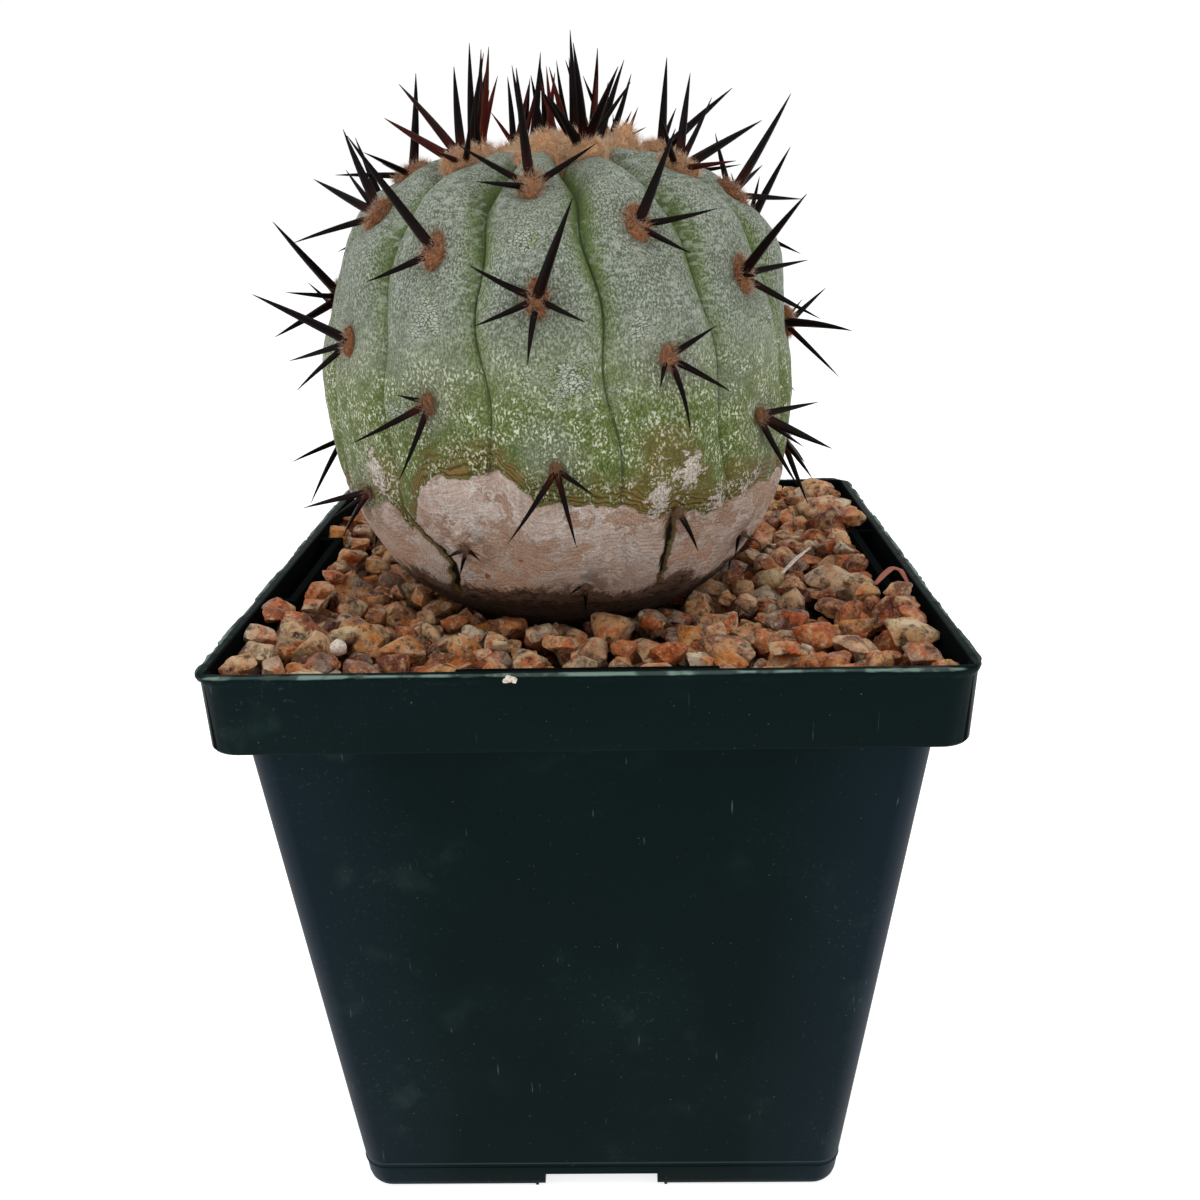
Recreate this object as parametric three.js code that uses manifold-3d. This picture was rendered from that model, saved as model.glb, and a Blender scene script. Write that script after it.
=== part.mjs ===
// A round, ribbed desert cactus in a square moulded nursery pot, topped with gravel.
// Millimetres, +Z up. The origin is the middle of the pot's underside; -Y is the front.

import * as THREE from "three";
import { mergeVertices } from "three/addons/utils/BufferGeometryUtils.js";
import Module from "manifold-3d";

const wasm = await Module();
wasm.setup();

// ---- Driving dimensions ----

const GAP = 0.3; // clear space between pieces that touch

// Pot: half-widths are from the middle to one flat side.
const POT_HEIGHT = 101;
const LIP_HALF = 54;
const LIP_DEPTH = 1.2;
const COLLAR_HALF = 53.6;
const COLLAR_DEPTH = 12;
const BODY_TOP_HALF = 49.5;
const BODY_FOOT_HALF = 40.9;
const FOOT_HEIGHT = 4.7;
const WALL = 1.3;
const RIM_WALL = 1.8;
const FLOOR = 1.6;
const CORNER_RADIUS = 4.5;
const LUG_HALF_LENGTH = 18.3;
const LUG_DROP = 1.4; // the stacking lugs stop this far below the lip
const NOTCH_HALF_WIDTH = 10;
const NOTCH_HEIGHT = 3;
const NOTCH_DEPTH = 11;
const DRAIN_LENGTH = 12;
const DRAIN_WIDTH = 3.6;

// Fill of the pot.
const SOIL_TOP = 84;
const GRAVEL_BED_TOP = 93.6;
const STONE_TOP = 97.6;
const STONE_PITCH = 9.4;
const HEAP_RISE = 1.2; // the gravel lies this much higher along the right side
const HEAP_START = 25;

// Stem: a body of revolution with a flatter crown than base, in ribs.
const STEM_X = -4.5;
const STEM_Y = 1;
const STEM_EQUATOR_Z = 126.7;
const STEM_RADIUS = 37.9;
const CROWN_HEIGHT = 41.6;
const BASE_DEPTH = 35.5;
const CROWN_SQUARENESS = 3.1;
const BASE_SQUARENESS = 2.16;
const CROWN_DIP = 1.8;
const CROWN_DIP_RADIUS = 7;
const ROOT_TIP_Z = 60;
const RIBS = 13;
const FRONT_RIB_AZIMUTH = -2.5; // degrees from the front, positive to the right
const RIB_TWIST = 3.1; // degrees that a rib turns from one areole to the next
const GROOVE_WEAVE = 2.2; // degrees that a groove bends round the areoles

// Areoles: each new one stands 8 ribs on from the one before, a thirteenth of a spacing higher.
const RIB_STEP = 8;
const AREOLE_SPACING = 21.2; // mm along a rib
const FIRST_AREOLE_ARC = 26.8; // mm from the crown's middle to areole 0
const CROWDING_PHASE = -0.3; // above this, areoles crowd towards the crown
const FIRST_CROWN_AREOLE = -30;
const LAST_CROWN_AREOLE = -10;
const LAST_STEM_AREOLE = 41;
const PAD_WIDTH = 3;
const PAD_HEIGHT = 5.6;
const PAD_RISE = 1.0;
const SPINE_RADIUS = 0.62;
const CENTRAL_SPINE_RADIUS = 0.95;
const SPINE_ROOT = 1.6; // how far a spine is sunk in

// Woolly crown.
const WOOL_RADIUS = 12.4;
const WOOL_RISE = 3.2;

// Small places where an areole is off the regular spiral: [degrees round, mm down].
const AREOLE_SHIFTS = {
  "-8": [0, -1],
  "-5": [-8, 1],
  "-3": [8, 1],
  3: [0, 1.2],
  8: [2.3, -1.2],
  10: [0, 0.6],
  11: [0, 3],
  13: [0, -2.6],
  15: [0, 1.5],
  18: [0, -1.9],
  21: [0, -0.8],
  23: [0, 0.6],
  24: [0, 5],
  29: [0, 2],
  34: [2, 0.6],
  39: [3.5, 0],
};

// Spines of the front areoles: [clock direction seen from outside, tilt from the skin's normal,
// length in mm]. Clock 0 points up the rib, 90 to the right.
const FRONT_SPINES = {
  "-8": [[-137, 55, 14], [174, 42, 16], [-149, 30, 17], [80, 40, 12]],
  "-7": [[-28, 16, 16.5], [15, 15, 17], [-43, 21, 14], [-110, 62, 11], [170, 62, 10]],
  "-6": [[15, 8, 14.5], [-177, 38, 15.5], [120, 30, 9], [-100, 60, 10]],
  "-5": [[-103, 56, 13.5], [116, 52, 11], [-84, 45, 16], [-30, 30, 14], [150, 66, 9]],
  "-3": [[-163, 63, 11], [113, 52, 14.5], [44, 40, 15], [70, 44, 13], [-89, 50, 11]],
  0: [[-10, 42, 15.5], [67, 68, 9], [-70, 68, 10.5], [-142, 58, 10]],
  2: [[67, 30, 18.5], [90, 63, 11.5], [139, 61, 12], [20, 60, 9]],
  3: [[-90, 55, 13.5], [-149, 62, 13], [-45, 48, 14], [-68, 62, 11]],
  5: [[26, 35, 13.5], [92, 69, 10], [151, 62, 9]],
  8: [[-36, 41, 18.5], [-130, 68, 10.5]],
  10: [[-34, 28, 17.5], [90, 67, 11.5], [-107, 42, 6], [136, 63, 13]],
  11: [[36, 50, 15.5], [87, 59, 12.5], [123, 56, 13.5]],
  13: [[31, 42, 17.5], [-65, 67, 9.5], [-117, 66, 9], [-175, 65, 9.5], [119, 61, 8]],
  15: [[-96, 47, 14.5], [-138, 54, 13]],
  16: [[-57, 42, 16], [-111, 62, 12], [-137, 63, 12.5]],
  18: [[58, 69, 7], [124, 69, 9.5], [177, 68, 10.5], [-141, 54, 5]],
  21: [[-76, 70, 4], [-119, 67, 12], [-165, 68, 11]],
  23: [[87, 68, 11], [121, 59, 13.5], [126, 71, 10], [163, 65, 12]],
  24: [[93, 58, 12.5], [135, 64, 12]],
  26: [[-143, 68, 11.5], [165, 68, 10.5], [120, 64, 6]],
  29: [[-102, 58, 13], [-137, 72, 10.5], [-120, 60, 8]],
  31: [[154, 72, 6.5]],
  34: [[-105, 60, 2.6], [-160, 70, 3.6], [100, 60, 2.6]],
  39: [[178, 76, 4.4], [-90, 55, 2]],
};

const COLOURS = {
  pot: 0x17282b,
  potting_mix: 0x3a2a1f,
  gravel: 0xa8744a,
  cactus: 0x87967c,
  crown_wool: 0xc99a72,
};

// ---- Helpers ----

const degrees = (angle) => (angle * Math.PI) / 180;

// The same number between 0 and 1 for the same seed, spread evenly.
function chance(seed) {
  const wave = Math.sin(seed * 12.9898) * 43758.5453;
  return wave - Math.floor(wave);
}

const between = (low, high, seed) => low + (high - low) * chance(seed);

// Straight lines through a few [position, value] pairs.
function along(pairs, position) {
  let [before] = pairs;
  for (const after of pairs) {
    if (position <= after[0]) {
      const span = after[0] - before[0] || 1;
      return before[1] + ((after[1] - before[1]) * (position - before[0])) / span;
    }
    before = after;
  }
  return before[1];
}

function solidOf(geometry) {
  geometry.deleteAttribute("normal");
  geometry.deleteAttribute("uv");
  const merged = mergeVertices(geometry, 1e-4);
  const vertProperties = new Float32Array(merged.attributes.position.array);
  const triVerts = new Uint32Array(merged.index.array);
  return new wasm.Manifold(new wasm.Mesh({ numProp: 3, vertProperties, triVerts }));
}

function geometryOf(solid) {
  const mesh = solid.getMesh();
  const geometry = new THREE.BufferGeometry();
  geometry.setAttribute("position", new THREE.BufferAttribute(mesh.vertProperties, 3));
  geometry.setIndex(new THREE.BufferAttribute(mesh.triVerts, 1));
  return geometry;
}

const middleOf = (ring) =>
  ring.reduce((sum, point) => sum.add(point), new THREE.Vector3()).divideScalar(ring.length);

// A closed skin over rings with equally many points, each running anticlockwise seen from the
// last ring's side. The ends close on a point, or on the middle of their ring.
function loft(rings, firstPoint = middleOf(rings[0]), lastPoint = middleOf(rings.at(-1))) {
  const count = rings[0].length;
  const points = [...rings.flat(), firstPoint, lastPoint];
  const first = points.length - 2;
  const last = points.length - 1;
  const top = (rings.length - 1) * count;
  const faces = [];
  for (let i = 0; i < count; i++) {
    const next = (i + 1) % count;
    faces.push(first, next, i);
    for (let row = 0; row < top; row += count) {
      faces.push(row + i, row + next, row + count + next);
      faces.push(row + i, row + count + next, row + count + i);
    }
    faces.push(last, top + i, top + next);
  }
  return new THREE.BufferGeometry().setFromPoints(points).setIndex(faces);
}

// ---- Pot ----

// A square with round corners at height z.
function squareRing(half, radius, z) {
  const stepsPerCorner = 3;
  const ring = [];
  for (let corner = 0; corner < 4; corner++) {
    const side = degrees(90 * corner + 45);
    const centreX = Math.sign(Math.cos(side)) * (half - radius);
    const centreY = Math.sign(Math.sin(side)) * (half - radius);
    for (let step = 0; step <= stepsPerCorner; step++) {
      const turn = degrees(90 * corner + (90 * step) / stepsPerCorner);
      ring.push(
        new THREE.Vector3(
          centreX + radius * Math.cos(turn),
          centreY + radius * Math.sin(turn),
          z,
        ),
      );
    }
  }
  return ring;
}

// [z, half-width, corner radius] rows, lowest first.
const squareSolid = (rows) =>
  solidOf(loft(rows.map(([z, half, radius]) => squareRing(half, radius, z))));

const COLLAR_Z = POT_HEIGHT - COLLAR_DEPTH;
const LEDGE_Z = COLLAR_Z + WALL;
const LUG_TOP_Z = POT_HEIGHT - LUG_DROP;
const INNER_FLOOR_HALF = BODY_FOOT_HALF - 0.3 - WALL;
const INNER_LEDGE_HALF = BODY_TOP_HALF - WALL;
const COLLAR_INNER_HALF = LIP_HALF - RIM_WALL;
const INNER_RADIUS = CORNER_RADIUS - WALL;

// Half-width of the tapered inside at height z.
const insideHalf = (z) =>
  along(
    [
      [FLOOR, INNER_FLOOR_HALF],
      [LEDGE_Z, INNER_LEDGE_HALF],
    ],
    z,
  );

// A box from the middle line of one side of the pot, at all four sides.
function onFourSides(makeSolid) {
  const copies = [0, 90, 180, 270].map((turn) => makeSolid().rotate([0, 0, turn]));
  return copies.reduce((sum, copy) => sum.add(copy));
}

function boxSolid(halfWidth, nearY, farY, lowZ, highZ) {
  const box = new THREE.BoxGeometry(2 * halfWidth, nearY - farY, highZ - lowZ);
  box.translate(0, (nearY + farY) / 2, (lowZ + highZ) / 2);
  return solidOf(box);
}

// The water notch under the middle of a side: an arch with eased ends.
function notchSolid() {
  const ease = 1.6;
  const arch = new THREE.Shape();
  arch.moveTo(-NOTCH_HALF_WIDTH - ease, -1);
  arch.lineTo(-NOTCH_HALF_WIDTH - ease, 0);
  arch.quadraticCurveTo(-NOTCH_HALF_WIDTH, 0, -NOTCH_HALF_WIDTH, NOTCH_HEIGHT / 2);
  arch.quadraticCurveTo(-NOTCH_HALF_WIDTH, NOTCH_HEIGHT, -NOTCH_HALF_WIDTH + ease, NOTCH_HEIGHT);
  arch.lineTo(NOTCH_HALF_WIDTH - ease, NOTCH_HEIGHT);
  arch.quadraticCurveTo(NOTCH_HALF_WIDTH, NOTCH_HEIGHT, NOTCH_HALF_WIDTH, NOTCH_HEIGHT / 2);
  arch.quadraticCurveTo(NOTCH_HALF_WIDTH, 0, NOTCH_HALF_WIDTH + ease, 0);
  arch.lineTo(NOTCH_HALF_WIDTH + ease, -1);
  const notch = new THREE.ExtrudeGeometry(arch, {
    depth: NOTCH_DEPTH + 5,
    bevelEnabled: false,
    curveSegments: 2,
  });
  notch.rotateX(Math.PI / 2);
  notch.translate(0, -BODY_FOOT_HALF + NOTCH_DEPTH, 0);
  return solidOf(notch);
}

// The slot that lets water out through the raised floor over a notch.
function drainSolid() {
  const round = DRAIN_WIDTH / 2;
  const half = DRAIN_LENGTH / 2 - round;
  const outline = new THREE.Shape();
  outline.absarc(half, 0, round, -Math.PI / 2, Math.PI / 2);
  outline.absarc(-half, 0, round, Math.PI / 2, (3 * Math.PI) / 2);
  const slot = new THREE.ExtrudeGeometry(outline, {
    depth: 3 * WALL,
    bevelEnabled: false,
    curveSegments: 4,
  });
  slot.translate(0, -BODY_FOOT_HALF + NOTCH_DEPTH / 2 + 1, NOTCH_HEIGHT - WALL);
  return solidOf(slot);
}

const RAISED_FLOOR_Z = NOTCH_HEIGHT + WALL;
const RAISED_HALF_WIDTH = NOTCH_HALF_WIDTH + WALL;
const RAISED_INNER_Y = -BODY_FOOT_HALF + NOTCH_DEPTH + WALL;

// The raised floor over a notch, grown by clear on its free sides.
const raisedFloor = (clear = 0) =>
  boxSolid(
    RAISED_HALF_WIDTH + clear,
    RAISED_INNER_Y + clear,
    -BODY_TOP_HALF,
    0,
    RAISED_FLOOR_Z + clear,
  );

// A stacking lug: a thin wall inside the collar, tied to it by a web at each end.
function lugSolid(clear = 0) {
  const innerY = -(INNER_LEDGE_HALF - clear);
  const outer = boxSolid(
    LUG_HALF_LENGTH + clear,
    innerY,
    -COLLAR_INNER_HALF - 0.5,
    LEDGE_Z - 0.6,
    LUG_TOP_Z + clear,
  );
  if (clear) return outer;
  const pocket = boxSolid(
    LUG_HALF_LENGTH - WALL,
    innerY - WALL,
    -COLLAR_INNER_HALF,
    LEDGE_Z,
    LUG_TOP_Z + 1,
  );
  return outer.subtract(pocket);
}

function potSolid() {
  const outside = squareSolid([
    [0, BODY_FOOT_HALF - 1.3, CORNER_RADIUS - 0.8],
    [0.5, BODY_FOOT_HALF - 0.7, CORNER_RADIUS - 0.3],
    [1.6, BODY_FOOT_HALF - 0.3, CORNER_RADIUS],
    [FOOT_HEIGHT, BODY_FOOT_HALF, CORNER_RADIUS],
    [COLLAR_Z, BODY_TOP_HALF, CORNER_RADIUS],
    [COLLAR_Z, COLLAR_HALF - 0.7, CORNER_RADIUS],
    [COLLAR_Z + 0.5, COLLAR_HALF - 0.3, CORNER_RADIUS],
    [POT_HEIGHT - LIP_DEPTH - 0.2, COLLAR_HALF, CORNER_RADIUS],
    [POT_HEIGHT - LIP_DEPTH, LIP_HALF, CORNER_RADIUS],
    [POT_HEIGHT, LIP_HALF, CORNER_RADIUS],
  ]);
  const taper = squareSolid([
    [FLOOR, INNER_FLOOR_HALF, INNER_RADIUS],
    [LEDGE_Z, INNER_LEDGE_HALF, INNER_RADIUS],
    [POT_HEIGHT + 1, INNER_LEDGE_HALF, INNER_RADIUS],
  ]);
  const collarHollow = squareSolid([
    [LEDGE_Z, COLLAR_INNER_HALF, INNER_RADIUS],
    [POT_HEIGHT + 1, COLLAR_INNER_HALF, INNER_RADIUS],
  ]);
  const hollow = taper
    .add(collarHollow)
    .subtract(onFourSides(lugSolid))
    .subtract(onFourSides(() => raisedFloor()));
  return outside
    .subtract(hollow)
    .subtract(onFourSides(notchSolid))
    .subtract(onFourSides(drainSolid));
}

// ---- Stem surface ----

// Points down the stem's smooth outline, each with its distance from the crown's middle.
function stemOutline() {
  const rows = [];
  const steps = 720;
  let arc = 0;
  for (let i = 0; i <= steps; i++) {
    const latitude = degrees(90 - (180 * i) / steps);
    const across = Math.abs(Math.cos(latitude));
    const rise = Math.sin(latitude);
    const squareness = rise > 0 ? CROWN_SQUARENESS : BASE_SQUARENESS;
    const height = rise > 0 ? CROWN_HEIGHT : BASE_DEPTH;
    const reach = (across ** squareness + Math.abs(rise) ** squareness) ** (-1 / squareness);
    const radius = STEM_RADIUS * reach * across;
    const z = STEM_EQUATOR_Z + height * reach * rise;
    const last = rows.at(-1);
    if (last) arc += Math.hypot(radius - last.radius, z - last.z);
    rows.push({ arc, radius, z });
  }
  return rows;
}

const OUTLINE = stemOutline();

// Radius and height of the smooth outline at a distance from the crown's middle.
function outlineAt(arc) {
  const index = Math.max(1, OUTLINE.findIndex((row) => row.arc >= arc));
  const before = OUTLINE[index - 1];
  const after = OUTLINE[index];
  const share = (arc - before.arc) / (after.arc - before.arc);
  return {
    radius: before.radius + share * (after.radius - before.radius),
    z: before.z + share * (after.z - before.z),
  };
}

const CROWDING_ARC = FIRST_AREOLE_ARC + AREOLE_SPACING * CROWDING_PHASE;

// Distance down the rib of a place in the areoles' count, and the other way round.
const arcOf = (phase) =>
  phase > CROWDING_PHASE
    ? FIRST_AREOLE_ARC + AREOLE_SPACING * phase
    : CROWDING_ARC * Math.exp(((phase - CROWDING_PHASE) * AREOLE_SPACING) / CROWDING_ARC);

const phaseOf = (arc) =>
  arc > CROWDING_ARC
    ? (arc - FIRST_AREOLE_ARC) / AREOLE_SPACING
    : CROWDING_PHASE + (Math.log(Math.max(arc, 0.1) / CROWDING_ARC) * CROWDING_ARC) / AREOLE_SPACING;

// Each rib's place in the areoles' count, from 0 to 1, indexed by rib.
const RIB_PHASE = [];
for (let areole = 0; areole < RIBS; areole++) RIB_PHASE[(RIB_STEP * areole) % RIBS] = areole / RIBS;

const ribAzimuth = (rib, phase) => FRONT_RIB_AZIMUTH + (360 / RIBS) * rib + RIB_TWIST * (phase - 1);

// Where the stem is smooth: at a place round it and down it, with its directions there.
function stemPlace(azimuth, arc) {
  const turn = degrees(azimuth);
  const out = new THREE.Vector3(Math.sin(turn), -Math.cos(turn), 0);
  const here = outlineAt(arc);
  const above = outlineAt(Math.max(arc - 0.4, 0));
  const below = outlineAt(arc + 0.4);
  const slope = new THREE.Vector2(below.radius - above.radius, below.z - above.z).normalize();
  const dip = CROWN_DIP * Math.exp(-((here.radius / CROWN_DIP_RADIUS) ** 2));
  const point = new THREE.Vector3(STEM_X, STEM_Y, here.z - dip).addScaledVector(out, here.radius);
  const normal = out.clone().multiplyScalar(-slope.y);
  normal.z = slope.x;
  const up = out.clone().multiplyScalar(-slope.x);
  up.z = -slope.y;
  return { point, normal, up, right: new THREE.Vector3(Math.cos(turn), Math.sin(turn), 0) };
}

// How deep the grooves are, and how wide the ribs' crests, by distance from the crown.
const GROOVE_DEPTHS = [
  [0, 0],
  [8, 2.8],
  [20, 4.6],
  [32, 3.6],
  [45, 2],
  [60, 1.1],
  [75, 0.6],
  [88, 0.2],
  [92, 0],
];
const CREST_SQUARENESS = [
  [10, 2],
  [22, 2.3],
  [32, 3],
  [45, 4],
  [60, 6],
];
const CREST_SWELL = 0.7; // a crest stands out this much between areoles, and dips as much at them
const CREST_SWELL_FADE = [[15, 0], [30, 1], [85, 0]];
// One bulge on the left flank, where a rib has filled out.
const HIP = { rib: 10, arc: 62, rise: 1.4, reach: 9 };

// How much a rib is widened at a distance down it: 1 at an areole, -1 between two.
const sideSwell = (rib, arc) =>
  Math.cos(2 * Math.PI * (phaseOf(arc) - RIB_PHASE[(rib + RIBS) % RIBS]));

// Degrees that the groove on the right of a rib is pushed aside.
const grooveShift = (rib, arc) =>
  ((GROOVE_WEAVE * (sideSwell(rib, arc) - sideSwell(rib + 1, arc))) / 2) *
  along([[8, 0], [25, 1]], arc);

// A point of the ribbed skin: across is -1 in a rib's left groove, 0 on its crest, 1 at its right.
function skinPoint(rib, across, arc, lift) {
  const half = 180 / RIBS;
  const edge = across < 0 ? half - grooveShift(rib - 1, arc) : half + grooveShift(rib, arc);
  const place = stemPlace(ribAzimuth(rib, phaseOf(arc)) + across * edge, arc);
  const fall = along(GROOVE_DEPTHS, arc) * Math.abs(across) ** along(CREST_SQUARENESS, arc);
  const hip = rib === HIP.rib ? HIP.rise * Math.exp(-(((arc - HIP.arc) / HIP.reach) ** 2)) : 0;
  const swell = hip - CREST_SWELL * sideSwell(rib, arc) * along(CREST_SWELL_FADE, arc);
  return place.point.addScaledVector(place.normal, (1 - across ** 2) * swell - fall + lift);
}

const SKIN_ARCS = [4, 8, 12.5, 17.5, 22.5, 28, 34, 41, 48, 55, 62, 69, 76, 82, 88, 94, 101];
const SKIN_COLUMNS = [-1, -0.55, -0.2, 0.2, 0.55];
// The taproot below the stem: [z, radius].
const ROOT = [
  [ROOT_TIP_Z + 3, 1.8],
  [72, 4.2],
  [82, 6.4],
  [88, 8],
];

// The whole plant's skin, lifted off itself by a few tenths where a neighbour needs room.
function plantSolid(lift = 0) {
  const columns = RIBS * SKIN_COLUMNS.length;
  const turnOf = (column) =>
    degrees(ribAzimuth(0, 2.5) - 180 / RIBS + (360 * column) / columns);
  const rootRings = ROOT.map(([z, radius]) =>
    Array.from(
      { length: columns },
      (_, column) =>
        new THREE.Vector3(
          STEM_X + (radius + lift) * Math.sin(turnOf(column)),
          STEM_Y - (radius + lift) * Math.cos(turnOf(column)),
          z,
        ),
    ),
  );
  const skinRings = SKIN_ARCS.toReversed().map((arc) =>
    Array.from({ length: columns }, (_, column) => {
      const rib = Math.floor(column / SKIN_COLUMNS.length);
      return skinPoint(rib, SKIN_COLUMNS[column % SKIN_COLUMNS.length], arc, lift);
    }),
  );
  const tip = new THREE.Vector3(STEM_X, STEM_Y, ROOT_TIP_Z - lift);
  const crown = stemPlace(0, 0).point;
  crown.z += lift;
  return solidOf(loft([...rootRings, ...skinRings], tip, crown));
}

// ---- Areoles and spines ----

// Felt pads shrink and round off with age: their width and height by phase.
const padWidth = (phase) =>
  PAD_WIDTH * along([[-0.6, 1.4], [0, 1.15], [1, 1], [1.4, 0.75], [2, 0.6], [3, 0.5]], phase);
const padHeight = (phase) =>
  PAD_HEIGHT * along([[-0.6, 1.2], [0, 1.1], [1, 1], [1.4, 0.65], [2, 0.4], [3, 0.28]], phase);

// The felt pad of an areole, and all within a gap of it.
function padSolid(place, gap = 0) {
  const pad = new THREE.SphereGeometry(1, 5, 3);
  const stretch = new THREE.Matrix4().makeScale(
    padWidth(place.phase) / 2 + gap,
    padHeight(place.phase) / 2 + gap,
    PAD_RISE + gap,
  );
  const turn = new THREE.Matrix4().makeBasis(place.right, place.up, place.normal);
  turn.setPosition(place.point.clone().addScaledVector(place.normal, -0.1));
  pad.applyMatrix4(turn.multiply(stretch));
  return solidOf(pad);
}

// A three-sided needle with its root sunk in.
function needleSolid(base, direction, length, radius) {
  const side = new THREE.Vector3(0, 0, 1).cross(direction);
  if (side.length() < 0.1) side.set(1, 0, 0).cross(direction);
  side.normalize();
  const other = direction.clone().cross(side);
  const root = base.clone().addScaledVector(direction, -SPINE_ROOT);
  const ring = [0, 120, 240].map((turn) =>
    root
      .clone()
      .addScaledVector(side, radius * Math.cos(degrees(turn)))
      .addScaledVector(other, radius * Math.sin(degrees(turn))),
  );
  const tip = base.clone().addScaledVector(direction, length);
  return solidOf(loft([ring], undefined, tip));
}

// The direction of a spine from its clock and tilt angles.
function spineDirection(place, clock, tilt) {
  const lean = Math.sin(degrees(tilt));
  return place.normal
    .clone()
    .multiplyScalar(Math.cos(degrees(tilt)))
    .addScaledVector(place.up, lean * Math.cos(degrees(clock)))
    .addScaledVector(place.right, lean * Math.sin(degrees(clock)));
}

function areolePlace(areole) {
  const phase = areole / RIBS;
  const rib = (((RIB_STEP * areole) % RIBS) + RIBS) % RIBS;
  const [turn, down] = AREOLE_SHIFTS[areole] ?? [0, 0];
  const arc = arcOf(phase) + down;
  const place = stemPlace(ribAzimuth(rib, phase) + turn, arc);
  place.point.addScaledVector(place.normal, -CREST_SWELL * along(CREST_SWELL_FADE, arc));
  return { ...place, phase };
}

// The spines of an areole by the general rule: a ring of radials and one central.
function generalSpines(areole) {
  const phase = areole / RIBS;
  const seed = 7 * areole + 300;
  if (phase > 2.5) {
    return [
      [between(-160, -110, seed), 62, between(2.5, 4.5, seed + 1)],
      [between(110, 160, seed + 2), 62, between(2.5, 4, seed + 3)],
    ];
  }
  // Beside the crown and low on the stem the radials keep to the lower half of the areole.
  const crowded = phase < 0 || phase > 2;
  const radials = crowded ? 3 : 4;
  const spread = crowded ? 210 : 360;
  const spines = [];
  for (let i = 0; i < radials; i++) {
    const clock = 180 - spread / 2 + (spread * (i + 0.5)) / radials;
    spines.push([
      clock + between(-14, 14, seed + i),
      between(60, 70, seed + i + 20),
      between(8.5, 12.5, seed + i + 40),
    ]);
  }
  if (phase < 2) {
    spines.push([between(-30, 30, seed + 60), between(28, 42, seed + 61), between(14, 17.5, seed + 62)]);
  }
  return spines;
}

function cactusSolid() {
  let plant = plantSolid();
  for (let areole = LAST_CROWN_AREOLE + 1; areole <= LAST_STEM_AREOLE; areole++) {
    const place = areolePlace(areole);
    plant = plant.add(padSolid(place));
    for (const [clock, tilt, length] of FRONT_SPINES[areole] ?? generalSpines(areole)) {
      const radius = length > 13.4 ? CENTRAL_SPINE_RADIUS : SPINE_RADIUS;
      const direction = spineDirection(place, clock, tilt);
      plant = plant.add(needleSolid(place.point, direction, length, radius));
    }
  }
  return plant;
}

// ---- Woolly crown ----

function crownSolid() {
  const columns = 18;
  const apex = stemPlace(0, 0).point;
  const rim = OUTLINE.find((row) => row.radius > WOOL_RADIUS).z;
  const ring = (share, z, seed) =>
    Array.from({ length: columns }, (_, i) => {
      const turn = degrees((360 * i) / columns);
      const radius = share * (WOOL_RADIUS + between(-0.5, 0.1, seed + i));
      const bump = between(-0.3, 0.3, seed + i + 50);
      return new THREE.Vector3(
        apex.x + radius * Math.cos(turn),
        apex.y + radius * Math.sin(turn),
        z + bump,
      );
    });
  const top = rim + WOOL_RISE;
  const wool = solidOf(
    loft([
      ring(0.9, rim - 6, 10),
      ring(0.96, rim - 0.4, 10),
      ring(0.98, rim + 0.5 * WOOL_RISE, 10),
      ring(0.72, top - 0.3, 90),
      ring(0.35, top + 0.1, 130),
    ]),
  );
  let crown = wool.subtract(plantSolid(GAP + 0.1));
  for (let areole = LAST_CROWN_AREOLE + 1; areole < LAST_CROWN_AREOLE + 5; areole++) {
    crown = crown.subtract(padSolid(areolePlace(areole), 2 * GAP));
  }
  for (let areole = FIRST_CROWN_AREOLE; areole <= LAST_CROWN_AREOLE; areole++) {
    const phase = areole / RIBS;
    const rib = (((RIB_STEP * areole) % RIBS) + RIBS) % RIBS;
    const reach = Math.min(arcOf(phase), 0.78 * WOOL_RADIUS);
    const turn = degrees(ribAzimuth(rib, phase));
    const out = new THREE.Vector3(Math.sin(turn), -Math.cos(turn), 0);
    const count = areole < LAST_CROWN_AREOLE - 12 ? 1 : 2;
    for (let i = 0; i < count; i++) {
      const seed = 11 * areole + 500 + i;
      const lean = degrees(between(-6, 12, seed) + 1.4 * reach);
      const swing = degrees(between(-60, 60, seed + 3));
      const away = out.clone().applyAxisAngle(new THREE.Vector3(0, 0, 1), swing);
      const direction = away.multiplyScalar(Math.sin(lean));
      direction.z = Math.cos(lean);
      const base = new THREE.Vector3(apex.x, apex.y, top - 0.6)
        .addScaledVector(out, reach + 0.9 * (i - 0.5));
      const length = between(8, 12, seed + 5) + (reach > 6 ? 3.5 : 0);
      crown = crown.add(needleSolid(base, direction, length, SPINE_RADIUS));
    }
  }
  return crown;
}

// ---- Fill ----

function soilSolid() {
  const low = FLOOR + GAP;
  const fill = squareSolid([
    [low, insideHalf(low) - GAP, INNER_RADIUS],
    [SOIL_TOP, insideHalf(SOIL_TOP) - GAP, INNER_RADIUS],
  ]);
  // A plain hole for the taproot.
  const profile = [
    [0, ROOT_TIP_Z - 1],
    [2.6, ROOT_TIP_Z + 2.6],
    ...ROOT.slice(1).map(([z, radius]) => [radius + 2 * GAP, z]),
    [0, ROOT.at(-1)[0]],
  ];
  const hole = new THREE.LatheGeometry(
    profile.map(([radius, z]) => new THREE.Vector2(radius, z)),
    24,
  );
  hole.rotateX(Math.PI / 2);
  hole.translate(STEM_X, STEM_Y, 0);
  return fill.subtract(onFourSides(() => raisedFloor(GAP))).subtract(solidOf(hole));
}

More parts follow.
